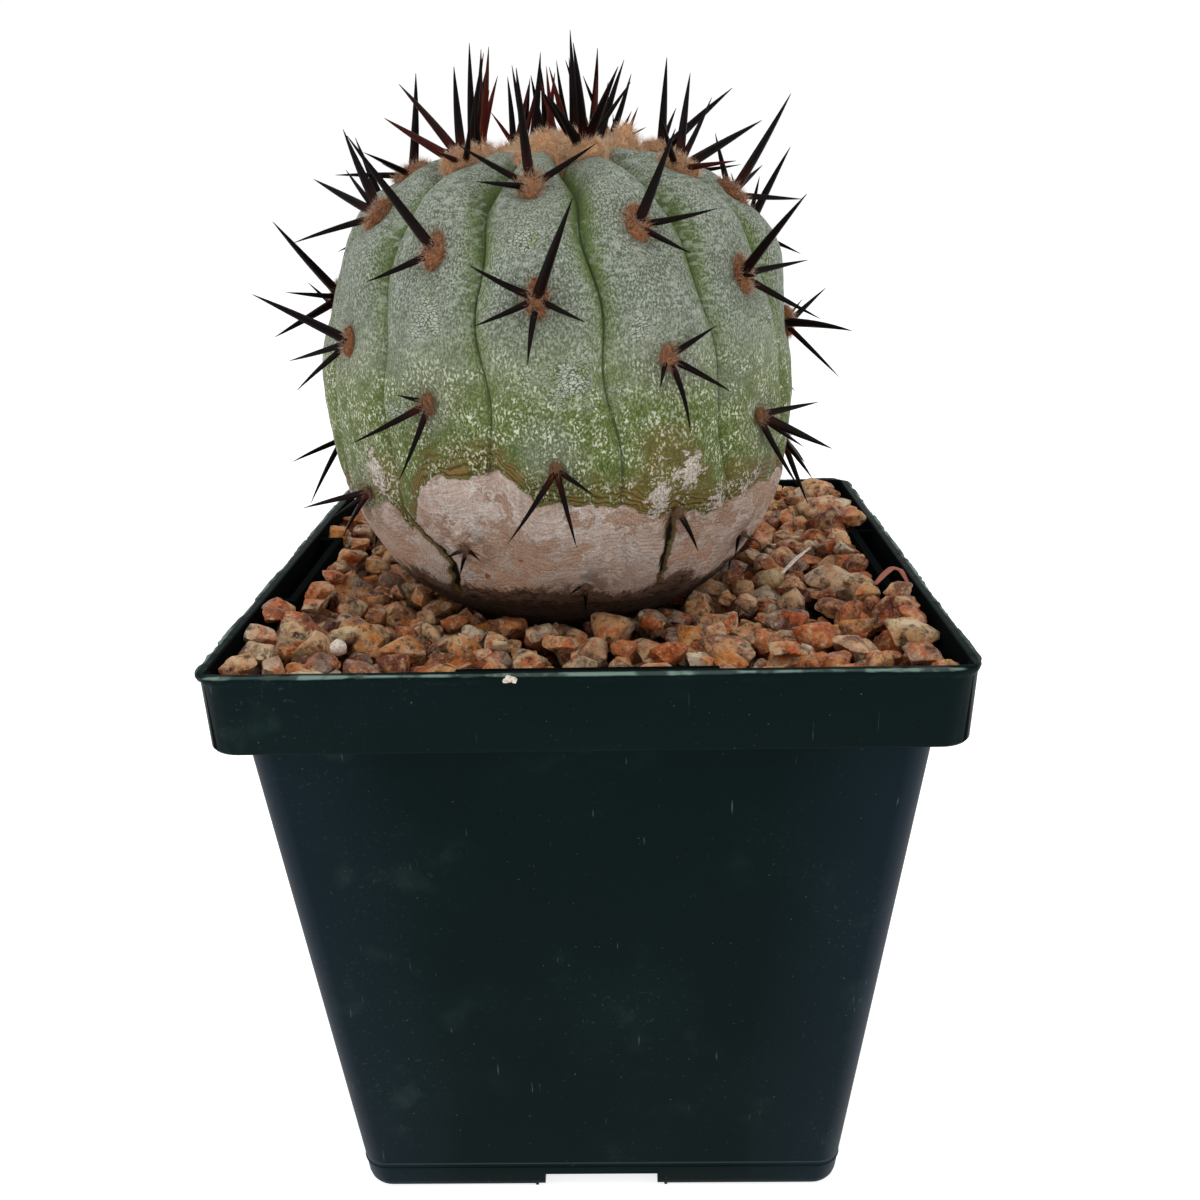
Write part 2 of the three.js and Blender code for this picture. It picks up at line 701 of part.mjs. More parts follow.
// One angular stone.
function stoneSolid(centre, size, seed) {
  const stone = new THREE.IcosahedronGeometry(size, 0);
  const stretch = new THREE.Vector3(
    between(0.85, 1.2, seed),
    between(0.85, 1.2, seed + 1),
    between(0.75, 0.95, seed + 2),
  );
  stone.scale(stretch.x, stretch.y, stretch.z);
  stone.rotateZ(between(0, 6, seed + 3));
  stone.rotateX(between(-0.5, 0.5, seed + 4));
  stone.translate(centre.x, centre.y, centre.z);
  return solidOf(stone);
}

// Where gravel can lie: the tapered inside, and the open corners of the collar.
function gravelRoom(low, high) {
  const middle = squareSolid([
    [low, insideHalf(low) - GAP, INNER_RADIUS],
    [LEDGE_Z, INNER_LEDGE_HALF - GAP, INNER_RADIUS],
    [high, INNER_LEDGE_HALF - GAP, INNER_RADIUS],
  ]);
  const corners = squareSolid([
    [LEDGE_Z + GAP, COLLAR_INNER_HALF - GAP, INNER_RADIUS],
    [high, COLLAR_INNER_HALF - GAP, INNER_RADIUS],
  ]);
  return middle.add(corners.subtract(onFourSides(() => lugSolid(GAP))));
}

function gravelSolid() {
  let gravel = gravelRoom(SOIL_TOP + GAP, GRAVEL_BED_TOP);
  const reach = COLLAR_INNER_HALF - GAP;
  const steps = Math.floor(reach / STONE_PITCH);
  for (let column = -steps; column <= steps; column++) {
    for (let row = -steps; row <= steps; row++) {
      const seed = 31 * column + 17 * row + 900;
      const size = between(4.2, 5, seed + 9);
      const x = STONE_PITCH * (column + between(-0.2, 0.2, seed + 5));
      const y = STONE_PITCH * (row + between(-0.2, 0.2, seed + 6));
      const heap = (HEAP_RISE * Math.max(0, x - HEAP_START)) / (reach - HEAP_START);
      const z = STONE_TOP - size + heap + between(-0.7, 0.3, seed + 7);
      gravel = gravel.add(stoneSolid(new THREE.Vector3(x, y, z), size, seed));
    }
  }
  const room = gravelRoom(SOIL_TOP, POT_HEIGHT);
  return gravel.intersect(room).subtract(plantSolid(GAP + 0.1));
}

// ---- The potted plant ----

function named(name, solid, roughness) {
  const material = new THREE.MeshStandardMaterial({
    color: COLOURS[name],
    roughness,
    metalness: 0,
  });
  const mesh = new THREE.Mesh(geometryOf(solid), material);
  mesh.name = name;
  return mesh;
}

const pottedCactus = new THREE.Group();
pottedCactus.add(
  named("pot", potSolid(), 0.5),
  named("potting_mix", soilSolid(), 0.95),
  named("gravel", gravelSolid(), 0.8),
  named("cactus", cactusSolid(), 0.7),
  named("crown_wool", crownSolid(), 1),
);

export default pottedCactus;
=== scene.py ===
# %% [markdown]
# # A round cactus in a nursery pot
#
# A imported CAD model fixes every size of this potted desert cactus. This lesson dresses it piece
# by piece: the moulded pot, the ribbed stem, its felt pads and spines, the woolly crown and the
# gravel. Sizes are in millimetres until a mesh is made, because the real thing is measured so.

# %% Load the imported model
import math

import bmesh
import bpy
import numpy as np
from mathutils import Matrix, Vector, noise


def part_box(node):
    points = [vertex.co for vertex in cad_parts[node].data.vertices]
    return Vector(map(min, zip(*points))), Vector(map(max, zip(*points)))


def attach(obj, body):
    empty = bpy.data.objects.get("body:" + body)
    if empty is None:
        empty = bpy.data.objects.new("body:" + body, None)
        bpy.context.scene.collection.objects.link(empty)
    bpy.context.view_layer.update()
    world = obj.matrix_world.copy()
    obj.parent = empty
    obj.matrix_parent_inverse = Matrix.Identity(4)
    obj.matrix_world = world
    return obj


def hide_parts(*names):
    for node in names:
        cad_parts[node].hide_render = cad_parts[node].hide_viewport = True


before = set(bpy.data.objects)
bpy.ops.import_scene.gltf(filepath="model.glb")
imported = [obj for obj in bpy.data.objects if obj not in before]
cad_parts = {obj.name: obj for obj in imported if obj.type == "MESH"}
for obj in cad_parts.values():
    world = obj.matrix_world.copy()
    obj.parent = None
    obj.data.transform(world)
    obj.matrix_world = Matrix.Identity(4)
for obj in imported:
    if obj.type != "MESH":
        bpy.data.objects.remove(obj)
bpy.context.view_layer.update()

MM = 0.001


# %% [markdown]
# ## Small tools
#
# Nature repeats with variation, so most cells need a number that looks random but is the same
# on every run. A sine with a large factor does that for any seed, also for a whole array.
# Noise gives a value that changes smoothly from place to place, for bumps and wavy edges.


# %% Seeded chance, ramps and noise
def chance(seed):
    """The same number between 0 and 1 for the same seed, spread evenly."""
    wave = np.sin(np.asarray(seed, float) * 12.9898) * 43758.5453
    return wave - np.floor(wave)


def between(low, high, seed):
    return low + (high - low) * chance(seed)


def along(pairs, position):
    """Straight lines through a few (position, value) pairs."""
    places, values = zip(*pairs)
    return np.interp(position, places, values)


def eased(low, high, value):
    """0 below low, 1 above high, and a smooth step between."""
    share = np.clip((value - low) / (high - low), 0, 1)
    return share * share * (3 - 2 * share)


def rough(points, size, seed=0):
    """Smooth noise from about -1 to 1 at each point, with bumps of that size in mm."""
    places = np.asarray(points, float) / size + 17.3 * seed
    flat = [noise.noise(place) for place in places.reshape(-1, 3).tolist()]
    return np.array(flat).reshape(places.shape[:-1])


# %% [markdown]
# A node tree is a list of nodes, their settings and their links. One function adds a node with
# all three, for materials and for geometry alike, so a tree reads from top to bottom.
# Colours are written as the hex codes of a paint chart and turned to linear light.
#
# Every material is then built in three steps. Its sources are numbers kept on the mesh and noise
# of a real size. Each share is 0 or 1 or between, by where a source lies in a range. And colours
# are laid over each other like coats of paint, each as dense as its shares multiplied.


# %% Nodes, colours, materials and meshes
def colour_of(code):
    """A hex code such as #14232A as linear red, green, blue and alpha."""
    parts = [int(code[i : i + 2], 16) / 255 for i in (1, 3, 5)]
    return [v / 12.92 if v <= 0.04045 else ((v + 0.055) / 1.055) ** 2.4 for v in parts] + [1]


def connect(tree, node, inputs):
    """Fills inputs. Each takes a value, a hex code, an output, or a node for its first output."""
    for key, value in inputs.items():
        if isinstance(value, bpy.types.Node):
            value = value.outputs[0]
        if isinstance(value, bpy.types.NodeSocket):
            tree.links.new(value, node.inputs[key])
        else:
            is_code = isinstance(value, str) and value.startswith("#")
            node.inputs[key].default_value = colour_of(value) if is_code else value


def add(tree, kind, inputs=None, **settings):
    """A node with its settings and its inputs."""
    node = tree.nodes.new(kind)
    for key, value in settings.items():
        setattr(node, key, value)
    connect(tree, node, inputs or {})
    return node


def start_material(name, **finish):
    """A material with its shader's own sockets set, its tree, and the Object coordinates."""
    material = bpy.data.materials.new(name)
    material.use_nodes = True
    tree = material.node_tree
    shader = tree.nodes["Principled BSDF"]
    connect(tree, shader, {socket.replace("_", " "): value for socket, value in finish.items()})
    place = add(tree, "ShaderNodeTexCoord").outputs["Object"]
    return material, tree, shader, place


def sources_of(tree, traits, place, patterns, **finish):
    """By name: numbers kept on the mesh's points, and noise for each (size in mm, detail)."""
    sources = {}
    for name in traits:
        sources[name] = add(tree, "ShaderNodeAttribute", attribute_name=name).outputs["Fac"]
    for name, (size, detail) in patterns.items():
        given = {"Vector": place, "Scale": 1 / (size * MM), "Detail": detail, **finish}
        sources[name] = add(tree, "ShaderNodeTexNoise", given)
    return sources


def shares_of(tree, sources, limits, curve="LINEAR"):
    """Shares by name. Each is 0 at the start of its source's range and its most at the end."""
    shares = {}
    for name, (source, start, end, *most) in limits.items():
        band = {"Value": sources[source], "From Min": start, "From Max": end}
        band["To Max"] = most[0] if most else 1.0
        shares[name] = add(tree, "ShaderNodeMapRange", band, interpolation_type=curve)
    return shares


def product(tree, shares, strength, *names):
    """Shares multiplied together, times a strength."""
    result = strength
    for name in names:
        factors = {0: shares[name], 1: result}
        result = add(tree, "ShaderNodeMath", factors, operation="MULTIPLY")
    return result


def paint(tree, colour, shares, layers):
    """Colours laid over each other. Each (colour, strength, shares) covers what is below it."""
    for over, strength, *names in layers:
        share = product(tree, shares, strength, *names)
        mix = add(tree, "ShaderNodeMix", {0: share, 6: colour, 7: over}, data_type="RGBA")
        colour = mix.outputs[2]
    return colour


def show(name, mesh):
    piece = bpy.data.objects.new(name, mesh)
    bpy.context.scene.collection.objects.link(piece)
    return piece


def make_mesh(name, points, faces, material=None, smooth=True, **traits):
    """A mesh object from points in mm. Traits are numbers or vectors kept on its points."""
    mesh = bpy.data.meshes.new(name)
    mesh.from_pydata((np.asarray(points, float) * MM).tolist(), [], faces)
    for trait, values in traits.items():
        values = np.asarray(values, np.float32)
        kind, field = ("FLOAT", "value") if values.ndim == 1 else ("FLOAT_VECTOR", "vector")
        mesh.attributes.new(trait, kind, "POINT").data.foreach_set(field, values.ravel())
    if smooth:
        mesh.shade_smooth()
    if material:
        mesh.materials.append(material)
    mesh.update()
    return show(name, mesh)


def loft(rings, close=True):
    """Points and faces of a skin over equal rings, bottom first, anticlockwise from above."""
    count = len(rings[0])
    points = np.concatenate(rings)
    faces = [
        (row + i, row + (i + 1) % count, row + count + (i + 1) % count, row + count + i)
        for row in range(0, (len(rings) - 1) * count, count)
        for i in range(count)
    ]
    if close:
        first, last, top = len(points), len(points) + 1, len(points) - count
        points = np.concatenate([points, [rings[0].mean(0), rings[-1].mean(0)]])
        for i in range(count):
            faces.append((first, (i + 1) % count, i))
            faces.append((last, top + i, top + (i + 1) % count))
    return points, faces


# %% [markdown]
# Geometry Nodes repeat a shape over points. Each tree below is built the same way: named inputs,
# nodes, one output. Running it fills the inputs, reads the finished mesh off the evaluated
# object and drops the modifier, so what is left is plain geometry that any program can read.


# %% Build and run a Geometry Nodes tree
def new_growth(name, traits, **inputs):
    """A tree with inputs, each a (socket type, value), that reads traits of points, each of a
    kind. Returns the tree, what it is given by name, and its end."""
    tree = bpy.data.node_groups.new(name, "GeometryNodeTree")
    face = tree.interface
    face.new_socket("Geometry", in_out="INPUT", socket_type="NodeSocketGeometry")
    for label, (kind, value) in inputs.items():
        socket = face.new_socket(label, in_out="INPUT", socket_type="NodeSocket" + kind)
        if value is not None:
            socket.default_value = value
    face.new_socket("Geometry", in_out="OUTPUT", socket_type="NodeSocketGeometry")
    given = {socket.name: socket for socket in add(tree, "NodeGroupInput").outputs}
    for trait, kind in traits.items():
        reader = add(tree, "GeometryNodeInputNamedAttribute", {"Name": trait}, data_type=kind)
        given[trait] = reader.outputs[0]
    return tree, given, add(tree, "NodeGroupOutput")


def grow(name, source, tree, **settings):
    """Runs a tree on a source object and keeps the result as a plain mesh object."""
    modifier = source.modifiers.new("growth", "NODES")
    modifier.node_group = tree
    for item in tree.interface.items_tree:
        if item.item_type == "SOCKET" and item.in_out == "INPUT" and item.name in settings:
            modifier[item.identifier] = settings[item.name]
    source.update_tag()
    depsgraph = bpy.context.evaluated_depsgraph_get()
    mesh = bpy.data.meshes.new_from_object(
        source.evaluated_get(depsgraph), preserve_all_data_layers=True, depsgraph=depsgraph
    )
    source.modifiers.remove(modifier)
    bpy.data.objects.remove(source)
    mesh.name = name
    mesh.calc_loop_triangles()
    print(name, len(mesh.loop_triangles), "triangles")
    return show(name, mesh)


# %% [markdown]
# ## The camera
#
# The camera stands where the photographer stood, a little above the plant and close to it, so
# the pot narrows strongly downwards. Its place and its three angles are set before any piece is
# made, because every later look depends on them.

# %% Set up the camera
CAMERA_AT = (5.02, -204.98, 164.38)
CAMERA_YAW, CAMERA_PITCH, CAMERA_ROLL = (math.radians(angle) for angle in (1.118, 19.295, -1.184))
LENS = 36.6  # mm, on a 36 mm sensor

ahead = Vector((
    -math.sin(CAMERA_YAW) * math.cos(CAMERA_PITCH),
    math.cos(CAMERA_YAW) * math.cos(CAMERA_PITCH),
    -math.sin(CAMERA_PITCH),
))
level = Vector((math.cos(CAMERA_YAW), math.sin(CAMERA_YAW), 0))
upright = level.cross(ahead)
sideways = level * math.cos(CAMERA_ROLL) + upright * math.sin(CAMERA_ROLL)
rise = upright * math.cos(CAMERA_ROLL) - level * math.sin(CAMERA_ROLL)

camera = bpy.data.objects.new("camera", bpy.data.cameras.new("camera"))
bpy.context.scene.collection.objects.link(camera)
camera.data.lens, camera.data.sensor_width = LENS, 36
camera.data.clip_start, camera.data.clip_end = 0.01, 20
turn = Matrix((sideways, rise, -ahead)).transposed().to_4x4()
camera.matrix_world = Matrix.Translation(Vector(CAMERA_AT) * MM) @ turn
bpy.context.scene.camera = camera
print("camera at", [round(value, 1) for value in CAMERA_AT], "mm, lens", LENS, "mm")

# %% [markdown]
# ## The pot's form
#
# The pot is injection-moulded: one thin wall drawn off a mould, with a collar for stiffness, a
# thin lip, four stacking lugs inside the collar and water notches under its foot. The outside is
# a stack of squares with round corners, joined by a skin. The hollow is a second such stack, cut
# out with a Boolean, because that keeps the wall's thickness true everywhere.
#
# The square has many points on each side. They let the lip be ragged later, where the two
# halves of the mould left a little flash.

# %% Squares with round corners
POT_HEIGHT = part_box("pot")[1].z / MM
LIP_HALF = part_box("pot")[1].x / MM
LIP_DEPTH = 1.2
COLLAR_HALF = 53.6
COLLAR_Z = POT_HEIGHT - 12
BODY_TOP_HALF = 49.5
BODY_FOOT_HALF = 40.9
FOOT_HEIGHT = 4.7
WALL = 1.3
RIM_WALL = 1.8
FLOOR = 1.6
CORNER = 4.5
LEDGE_Z = COLLAR_Z + WALL
LUG_TOP_Z = POT_HEIGHT - 1.4
LUG_HALF = 18.3
INNER_TOP_HALF = BODY_TOP_HALF - WALL
INNER_FOOT_HALF = BODY_FOOT_HALF - 0.3 - WALL
COLLAR_INNER_HALF = LIP_HALF - RIM_WALL
CORNER_STEPS = 10
SIDE_STEPS = 150


def square_ring(half, radius, z):
    """Points round a square with round corners, anticlockwise from above."""
    turns = np.linspace(0, math.pi / 2, CORNER_STEPS + 1)
    corner = half - radius + radius * np.column_stack([np.cos(turns), np.sin(turns)])
    way = np.linspace(half - radius, radius - half, SIDE_STEPS + 1)[1:-1]
    quarter = np.vstack([corner, np.column_stack([way, np.full(len(way), half)])])
    quarters = [quarter @ [[c, s], [-s, c]] for c, s in ((1, 0), (0, 1), (-1, 0), (0, -1))]
    flat = np.vstack(quarters)
    return np.column_stack([flat, np.full(len(flat), z)])


def square_stack(name, rows):
    """A closed solid over (height, half-width, corner radius) rows, lowest first."""
    return make_mesh(name, *loft([square_ring(half, radius, z) for z, half, radius in rows]))


def four_boxes(name, half_width, near, far, low, high):
    """A box across the middle of each side, between two distances from the pot's middle."""
    corner = np.array([
        (x, -y, z) for z in (low, high) for x, y in
        ((-half_width, far), (half_width, far), (half_width, near), (-half_width, near))
    ])
    sides = [[0, 3, 2, 1], [4, 5, 6, 7], [0, 1, 5, 4], [1, 2, 6, 5], [2, 3, 7, 6], [3, 0, 4, 7]]
    points, faces = [], []
    for quarter in range(4):
        c, s = round(math.cos(quarter * math.pi / 2)), round(math.sin(quarter * math.pi / 2))
        points.extend(corner @ np.array([[c, s, 0], [-s, c, 0], [0, 0, 1]]))
        faces.extend([index + 8 * quarter for index in face] for face in sides)
    return make_mesh(name, points, faces, smooth=False)


def combine(piece, other, operation):
    """Cuts or joins the other solid, which is used up."""
    modifier = piece.modifiers.new("combine", "BOOLEAN")
    modifier.object, modifier.operation, modifier.solver = other, operation, "MANIFOLD"
    depsgraph = bpy.context.evaluated_depsgraph_get()
    mesh = bpy.data.meshes.new_from_object(piece.evaluated_get(depsgraph))
    piece.modifiers.remove(modifier)
    piece.data = mesh
    bpy.data.objects.remove(other)


# %% Build the pot
PARTING = 0.1  # the two halves of the mould left a line that stands out this far
pot_shell = square_stack("pot_shell", [
    (0, BODY_FOOT_HALF - 1.4, CORNER - 0.9),
    (0.35, BODY_FOOT_HALF - 0.85, CORNER - 0.4),
    (0.9, BODY_FOOT_HALF - 0.5, CORNER - 0.1),
    (1.7, BODY_FOOT_HALF - 0.3, CORNER),
    (FOOT_HEIGHT - 0.12, BODY_FOOT_HALF - 0.02, CORNER),
    (FOOT_HEIGHT, BODY_FOOT_HALF + PARTING, CORNER),
    (FOOT_HEIGHT + 0.12, BODY_FOOT_HALF, CORNER),
    (COLLAR_Z - 0.5, BODY_TOP_HALF - 0.05, CORNER),
    (COLLAR_Z, BODY_TOP_HALF + 0.4, CORNER),
    (COLLAR_Z, COLLAR_HALF - 0.75, CORNER - 0.3),
    (COLLAR_Z + 0.15, COLLAR_HALF - 0.48, CORNER),
    (COLLAR_Z + 0.5, COLLAR_HALF - 0.3, CORNER),
    (POT_HEIGHT - LIP_DEPTH - 0.5, COLLAR_HALF, CORNER),
    (POT_HEIGHT - LIP_DEPTH - 0.1, COLLAR_HALF + 0.12, CORNER),
    (POT_HEIGHT - LIP_DEPTH + 0.1, LIP_HALF - 0.15, CORNER),
    (POT_HEIGHT - LIP_DEPTH / 2, LIP_HALF, CORNER),
    (POT_HEIGHT - 0.3, LIP_HALF - 0.02, CORNER),
    (POT_HEIGHT, LIP_HALF - 0.35, CORNER),
])
combine(pot_shell, square_stack("inside", [
    (FLOOR, INNER_FOOT_HALF, CORNER - WALL),
    (LEDGE_Z, INNER_TOP_HALF, CORNER - WALL),
    (POT_HEIGHT + 1, INNER_TOP_HALF, CORNER - WALL),
]), "DIFFERENCE")
combine(pot_shell, square_stack("collar_inside", [
    (LEDGE_Z, COLLAR_INNER_HALF, CORNER - RIM_WALL),
    (POT_HEIGHT - 0.35, COLLAR_INNER_HALF, CORNER - RIM_WALL),
    (POT_HEIGHT + 0.1, COLLAR_INNER_HALF + 0.4, CORNER - RIM_WALL),
]), "DIFFERENCE")

lug_walls = (LUG_HALF, INNER_TOP_HALF, COLLAR_INNER_HALF + 0.5, LEDGE_Z - 0.6, LUG_TOP_Z)
lug_room = (LUG_HALF - WALL, INNER_TOP_HALF + WALL, COLLAR_INNER_HALF, LEDGE_Z, LUG_TOP_Z + 1)
combine(pot_shell, four_boxes("lugs", *lug_walls), "UNION")
combine(pot_shell, four_boxes("lug_pockets", *lug_room), "DIFFERENCE")

NOTCH_HALF, NOTCH_HEIGHT, NOTCH_DEPTH = 10, 3, 11
raised_inner = BODY_FOOT_HALF - NOTCH_DEPTH
raised = (NOTCH_HALF + WALL, raised_inner - WALL, BODY_FOOT_HALF - 0.9, 0, NOTCH_HEIGHT + WALL)
notches = (NOTCH_HALF - 0.4, raised_inner, BODY_FOOT_HALF + 5, -1, NOTCH_HEIGHT)
feet = (NOTCH_HALF + 0.8, raised_inner, BODY_FOOT_HALF + 5, -1, 0.6)
drain = BODY_FOOT_HALF - NOTCH_DEPTH / 2 - 1
drains = (6, drain - 1.8, drain + 1.8, 1, NOTCH_HEIGHT + WALL + 1)
combine(pot_shell, four_boxes("raised_floors", *raised), "UNION")
for cutter in (notches, feet, drains):
    combine(pot_shell, four_boxes("cutter", *cutter), "DIFFERENCE")
print("pot_shell", len(pot_shell.data.polygons), "faces")

# %% [markdown]
# The lip is where the mould closes, and a thin ragged edge of plastic is left standing there. It
# stops and starts along the lip, where it has broken off. Noise pushes only the points of the
# lip, a few tenths of a millimetre out and up. Edges that turn by more than 30 degrees are then
# marked sharp, and all others are shaded as one curve.

# %% Leave flash on the lip, and shade the pot
points = np.empty(len(pot_shell.data.vertices) * 3)
pot_shell.data.vertices.foreach_get("co", points)
points = points.reshape(-1, 3) / MM
reach = np.abs(points[:, :2]).max(1)
on_lip = (points[:, 2] > POT_HEIGHT - 1.15) & (reach > COLLAR_INNER_HALF + 0.6)
standing = eased(-0.04, 0.04, rough(points, 11, 1) + 0.3 * rough(points, 2, 2))
ragged = 0.22 * standing - 0.08 + 0.1 * rough(points, 1.1) + 0.08 * rough(points, 6, 3)
outwards = points[:, :2] / reach[:, None]
points[:, :2] += np.where(on_lip, ragged, 0)[:, None] * outwards
points[:, 2] += np.where(on_lip & (points[:, 2] > POT_HEIGHT - 0.5), 0.5 * ragged, 0)
pot_shell.data.vertices.foreach_set("co", (points * MM).ravel())
pot_shell.data.shade_smooth()
pot_shell.data.set_sharp_from_angle(angle=math.radians(30))
print("lip points moved:", int(on_lip.sum()))

# %% [markdown]
# ## Moulded polypropylene
#
# Nursery pots are black-green polypropylene, moulded against lightly blasted steel. The surface
# is satin, with soft broad highlights and no grain that the eye can name. What makes it real is
# handling: potting dust in faint clouds, hairline scratches, a few crumbs, and paler plastic
# where the lip is scraped. The bluish sheen near the corners is a painted highlight, and so is
# the light line along the mould's ridge above the foot. Dust and scuffs are noise of a known
# size, so they lie at random but never repeat.

# %% Material of the pot
BODY_TOP_Z = 88  # just under the collar
PARTING_Z = 5.6  # just above the foot

pot_plastic, tree, shader, place = start_material(
    "satin_moulded_polypropylene", Roughness=0.45, IOR=1.49, Specular_IOR_Level=0.04
)
sources = sources_of(tree, (), place, {
    # name: (size in mm, detail)
    "cloud": (26, 3), "dust": (0.6, 8), "fleck": (0.4, 2), "smear": (9, 5), "scrape": (4, 6),
    "fine": (0.8, 3),
})
long = {"Vector": place, "Rotation": (0.3, 0.5, 0.2), "Scale": (1, 1, 0.03)}
long = add(tree, "ShaderNodeMapping", long)
sources |= sources_of(tree, (), long, {"hairline": (0.5, 1)})

# Where a point is: its height, how far it is from the pot's middle, and 1 at a corner.
away = add(tree, "ShaderNodeVectorMath", {0: place}, operation="ABSOLUTE")
away = add(tree, "ShaderNodeSeparateXYZ", {0: away}).outputs
sources["height"] = away["Z"]
for name, operation in (("reach", "MAXIMUM"), ("nearer", "MINIMUM")):
    sources[name] = add(tree, "ShaderNodeMath", {0: away["X"], 1: away["Y"]}, operation=operation)
pair = {0: sources["nearer"], 1: sources["reach"]}
sources["corner"] = add(tree, "ShaderNodeMath", pair, operation="DIVIDE")
off_line = add(tree, "ShaderNodeMath", {0: away["Z"], 1: PARTING_Z * MM}, operation="SUBTRACT")
sources["off_line"] = add(tree, "ShaderNodeMath", {0: off_line}, operation="ABSOLUTE")

shares = shares_of(tree, sources, {
    # name: (source, start, end)
    "cloud": ("cloud", 0.42, 0.75), "dust": ("dust", 0.60, 0.74), "fleck": ("fleck", 0.74, 0.80),
    "smear": ("smear", 0.56, 0.72),
}, "SMOOTHSTEP")
shares |= shares_of(tree, sources, {
    "scratch": ("hairline", 0.72, 0.76),
    "upper_edge": ("height", (POT_HEIGHT - 0.3) * MM, (POT_HEIGHT - 0.12) * MM),
    "outermost": ("reach", (LIP_HALF - 0.8) * MM, (LIP_HALF - 0.45) * MM),
    "painted_corner_sheen": ("corner", 0.55, 0.97), "painted_corner_highlight": ("corner", 0.91, 1.0),
    "parting_line_highlight": ("off_line", 0.22 * MM, 0.08 * MM),
})
band = {"Value": sources["scrape"], "From Min": 0.44, "From Max": 0.54}
band |= {"To Min": 0.2, "To Max": 0.8}
shares["scraped"] = add(tree, "ShaderNodeMapRange", band)
for name, source, edge, operation in (
    ("on_body", "height", BODY_TOP_Z, "LESS_THAN"),
    ("in_collar", "height", COLLAR_Z + 0.2, "GREATER_THAN"),
    ("within", "reach", COLLAR_INNER_HALF + 0.15, "LESS_THAN"),
):
    pair = {0: sources[source], 1: edge * MM}
    shares[name] = add(tree, "ShaderNodeMath", pair, operation=operation)

colour = paint(tree, "#021213", shares, [
    # (colour, strength, shares)
    ("#051718", 1, "cloud"),
    # Painted highlight: a bluish sheen laid on the body near its rounded corners, brightest at the
    # corner itself.
    ("#101F27", 0.9, "painted_corner_sheen", "on_body"),
    ("#29313A", 0.85, "painted_corner_highlight", "on_body"),
    # Painted highlight: a light line along the mould's ridge just above the foot.
    ("#3A4746", 0.55, "parting_line_highlight"),
    ("#2F413E", 0.26, "smear", "cloud"),
    ("#66746B", 0.13, "dust", "cloud"),
    ("#7C8C86", 0.35, "scratch", "smear"),
    ("#9A8C72", 0.4, "fleck"),
    ("#7F978C", 1, "upper_edge", "outermost", "scraped"),
    ("#040A0A", 1, "within", "in_collar"),  # dull, with soil dust, and darker as painted shade inside the collar
])
inside = product(tree, shares, 1, "within", "in_collar")
matt = add(tree, "ShaderNodeMapRange", {"Value": inside, "To Min": 0.45, "To Max": 1.0})
bump = {"Strength": 0.12, "Distance": 0.1 * MM, "Height": sources["fine"]}
bump = add(tree, "ShaderNodeBump", bump)
connect(tree, shader, {"Base Color": colour, "Roughness": matt, "Normal": bump})
pot_shell.data.materials.clear()
pot_shell.data.materials.append(pot_plastic)

# %% [markdown]
# ## The stem's form
#
# A cactus stem is a barrel of pleats. Thirteen ribs climb in a slight spiral, because each new
# cushion of spines stands eight ribs on from the last one: both are Fibonacci numbers, as in a
# pine cone. So the whole plant follows from one rule, and a formula draws it better than a hand.
#
# The skin is a body of revolution, flat on top and rounder below, and the ribs are laid on it.
# Every point is named by how far round it is (the azimuth, from the front) and how far down it
# is from the crown (the arc, in mm along the skin).

# %% The smooth stem
STEM_X, STEM_Y, STEM_EQUATOR_Z = -4.5, 1, 126.7
STEM_RADIUS, CROWN_HEIGHT, BASE_DEPTH = 37.9, 41.6, 35.5
CROWN_SQUARENESS, BASE_SQUARENESS = 3.1, 2.16
CROWN_DIP, CROWN_DIP_RADIUS = 1.8, 7
ROOT_TIP_Z = 60
ROOT = [(ROOT_TIP_Z + 3, 1.8), (72, 4.2), (82, 6.4), (88, 8)]

latitude = np.radians(np.linspace(90, -90, 721))
across, upwards = np.abs(np.cos(latitude)), np.sin(latitude)
squareness = np.where(upwards > 0, CROWN_SQUARENESS, BASE_SQUARENESS)
stretch = (across**squareness + np.abs(upwards) ** squareness) ** (-1 / squareness)
OUTLINE_RADIUS = STEM_RADIUS * stretch * across
half_height = np.where(upwards > 0, CROWN_HEIGHT, BASE_DEPTH)
OUTLINE_Z = STEM_EQUATOR_Z + half_height * stretch * upwards
steps = np.hypot(np.diff(OUTLINE_RADIUS), np.diff(OUTLINE_Z))
OUTLINE_ARC = np.concatenate([[0], np.cumsum(steps)])


def stem_place(azimuth, arc):
    """Point, normal, up and right on the smooth stem, for numbers or equal arrays."""
    azimuth, arc = np.broadcast_arrays(np.asarray(azimuth, float), np.asarray(arc, float))
    turn, zero = np.radians(azimuth), np.zeros(azimuth.shape)
    out = np.stack([np.sin(turn), -np.cos(turn), zero], -1)
    right = np.stack([np.cos(turn), np.sin(turn), zero], -1)
    radius, z = (np.interp(arc, OUTLINE_ARC, line) for line in (OUTLINE_RADIUS, OUTLINE_Z))
    ends = (np.maximum(arc - 0.4, 0), arc + 0.4)
    run, drop = (
        np.interp(ends[1], OUTLINE_ARC, line) - np.interp(ends[0], OUTLINE_ARC, line)
        for line in (OUTLINE_RADIUS, OUTLINE_Z)
    )
    run, drop = run / np.hypot(run, drop), drop / np.hypot(run, drop)
    dip = CROWN_DIP * np.exp(-((radius / CROWN_DIP_RADIUS) ** 2))
    skywards = np.array([0, 0, 1.0])
    point = out * radius[..., None] + (z - dip)[..., None] * skywards + [STEM_X, STEM_Y, 0]
    normal = -out * drop[..., None] + skywards * run[..., None]
    up = -out * run[..., None] - skywards * drop[..., None]
    return point, normal, up, right


print("stem outline:", round(OUTLINE_ARC[-1], 1), "mm from crown to foot")

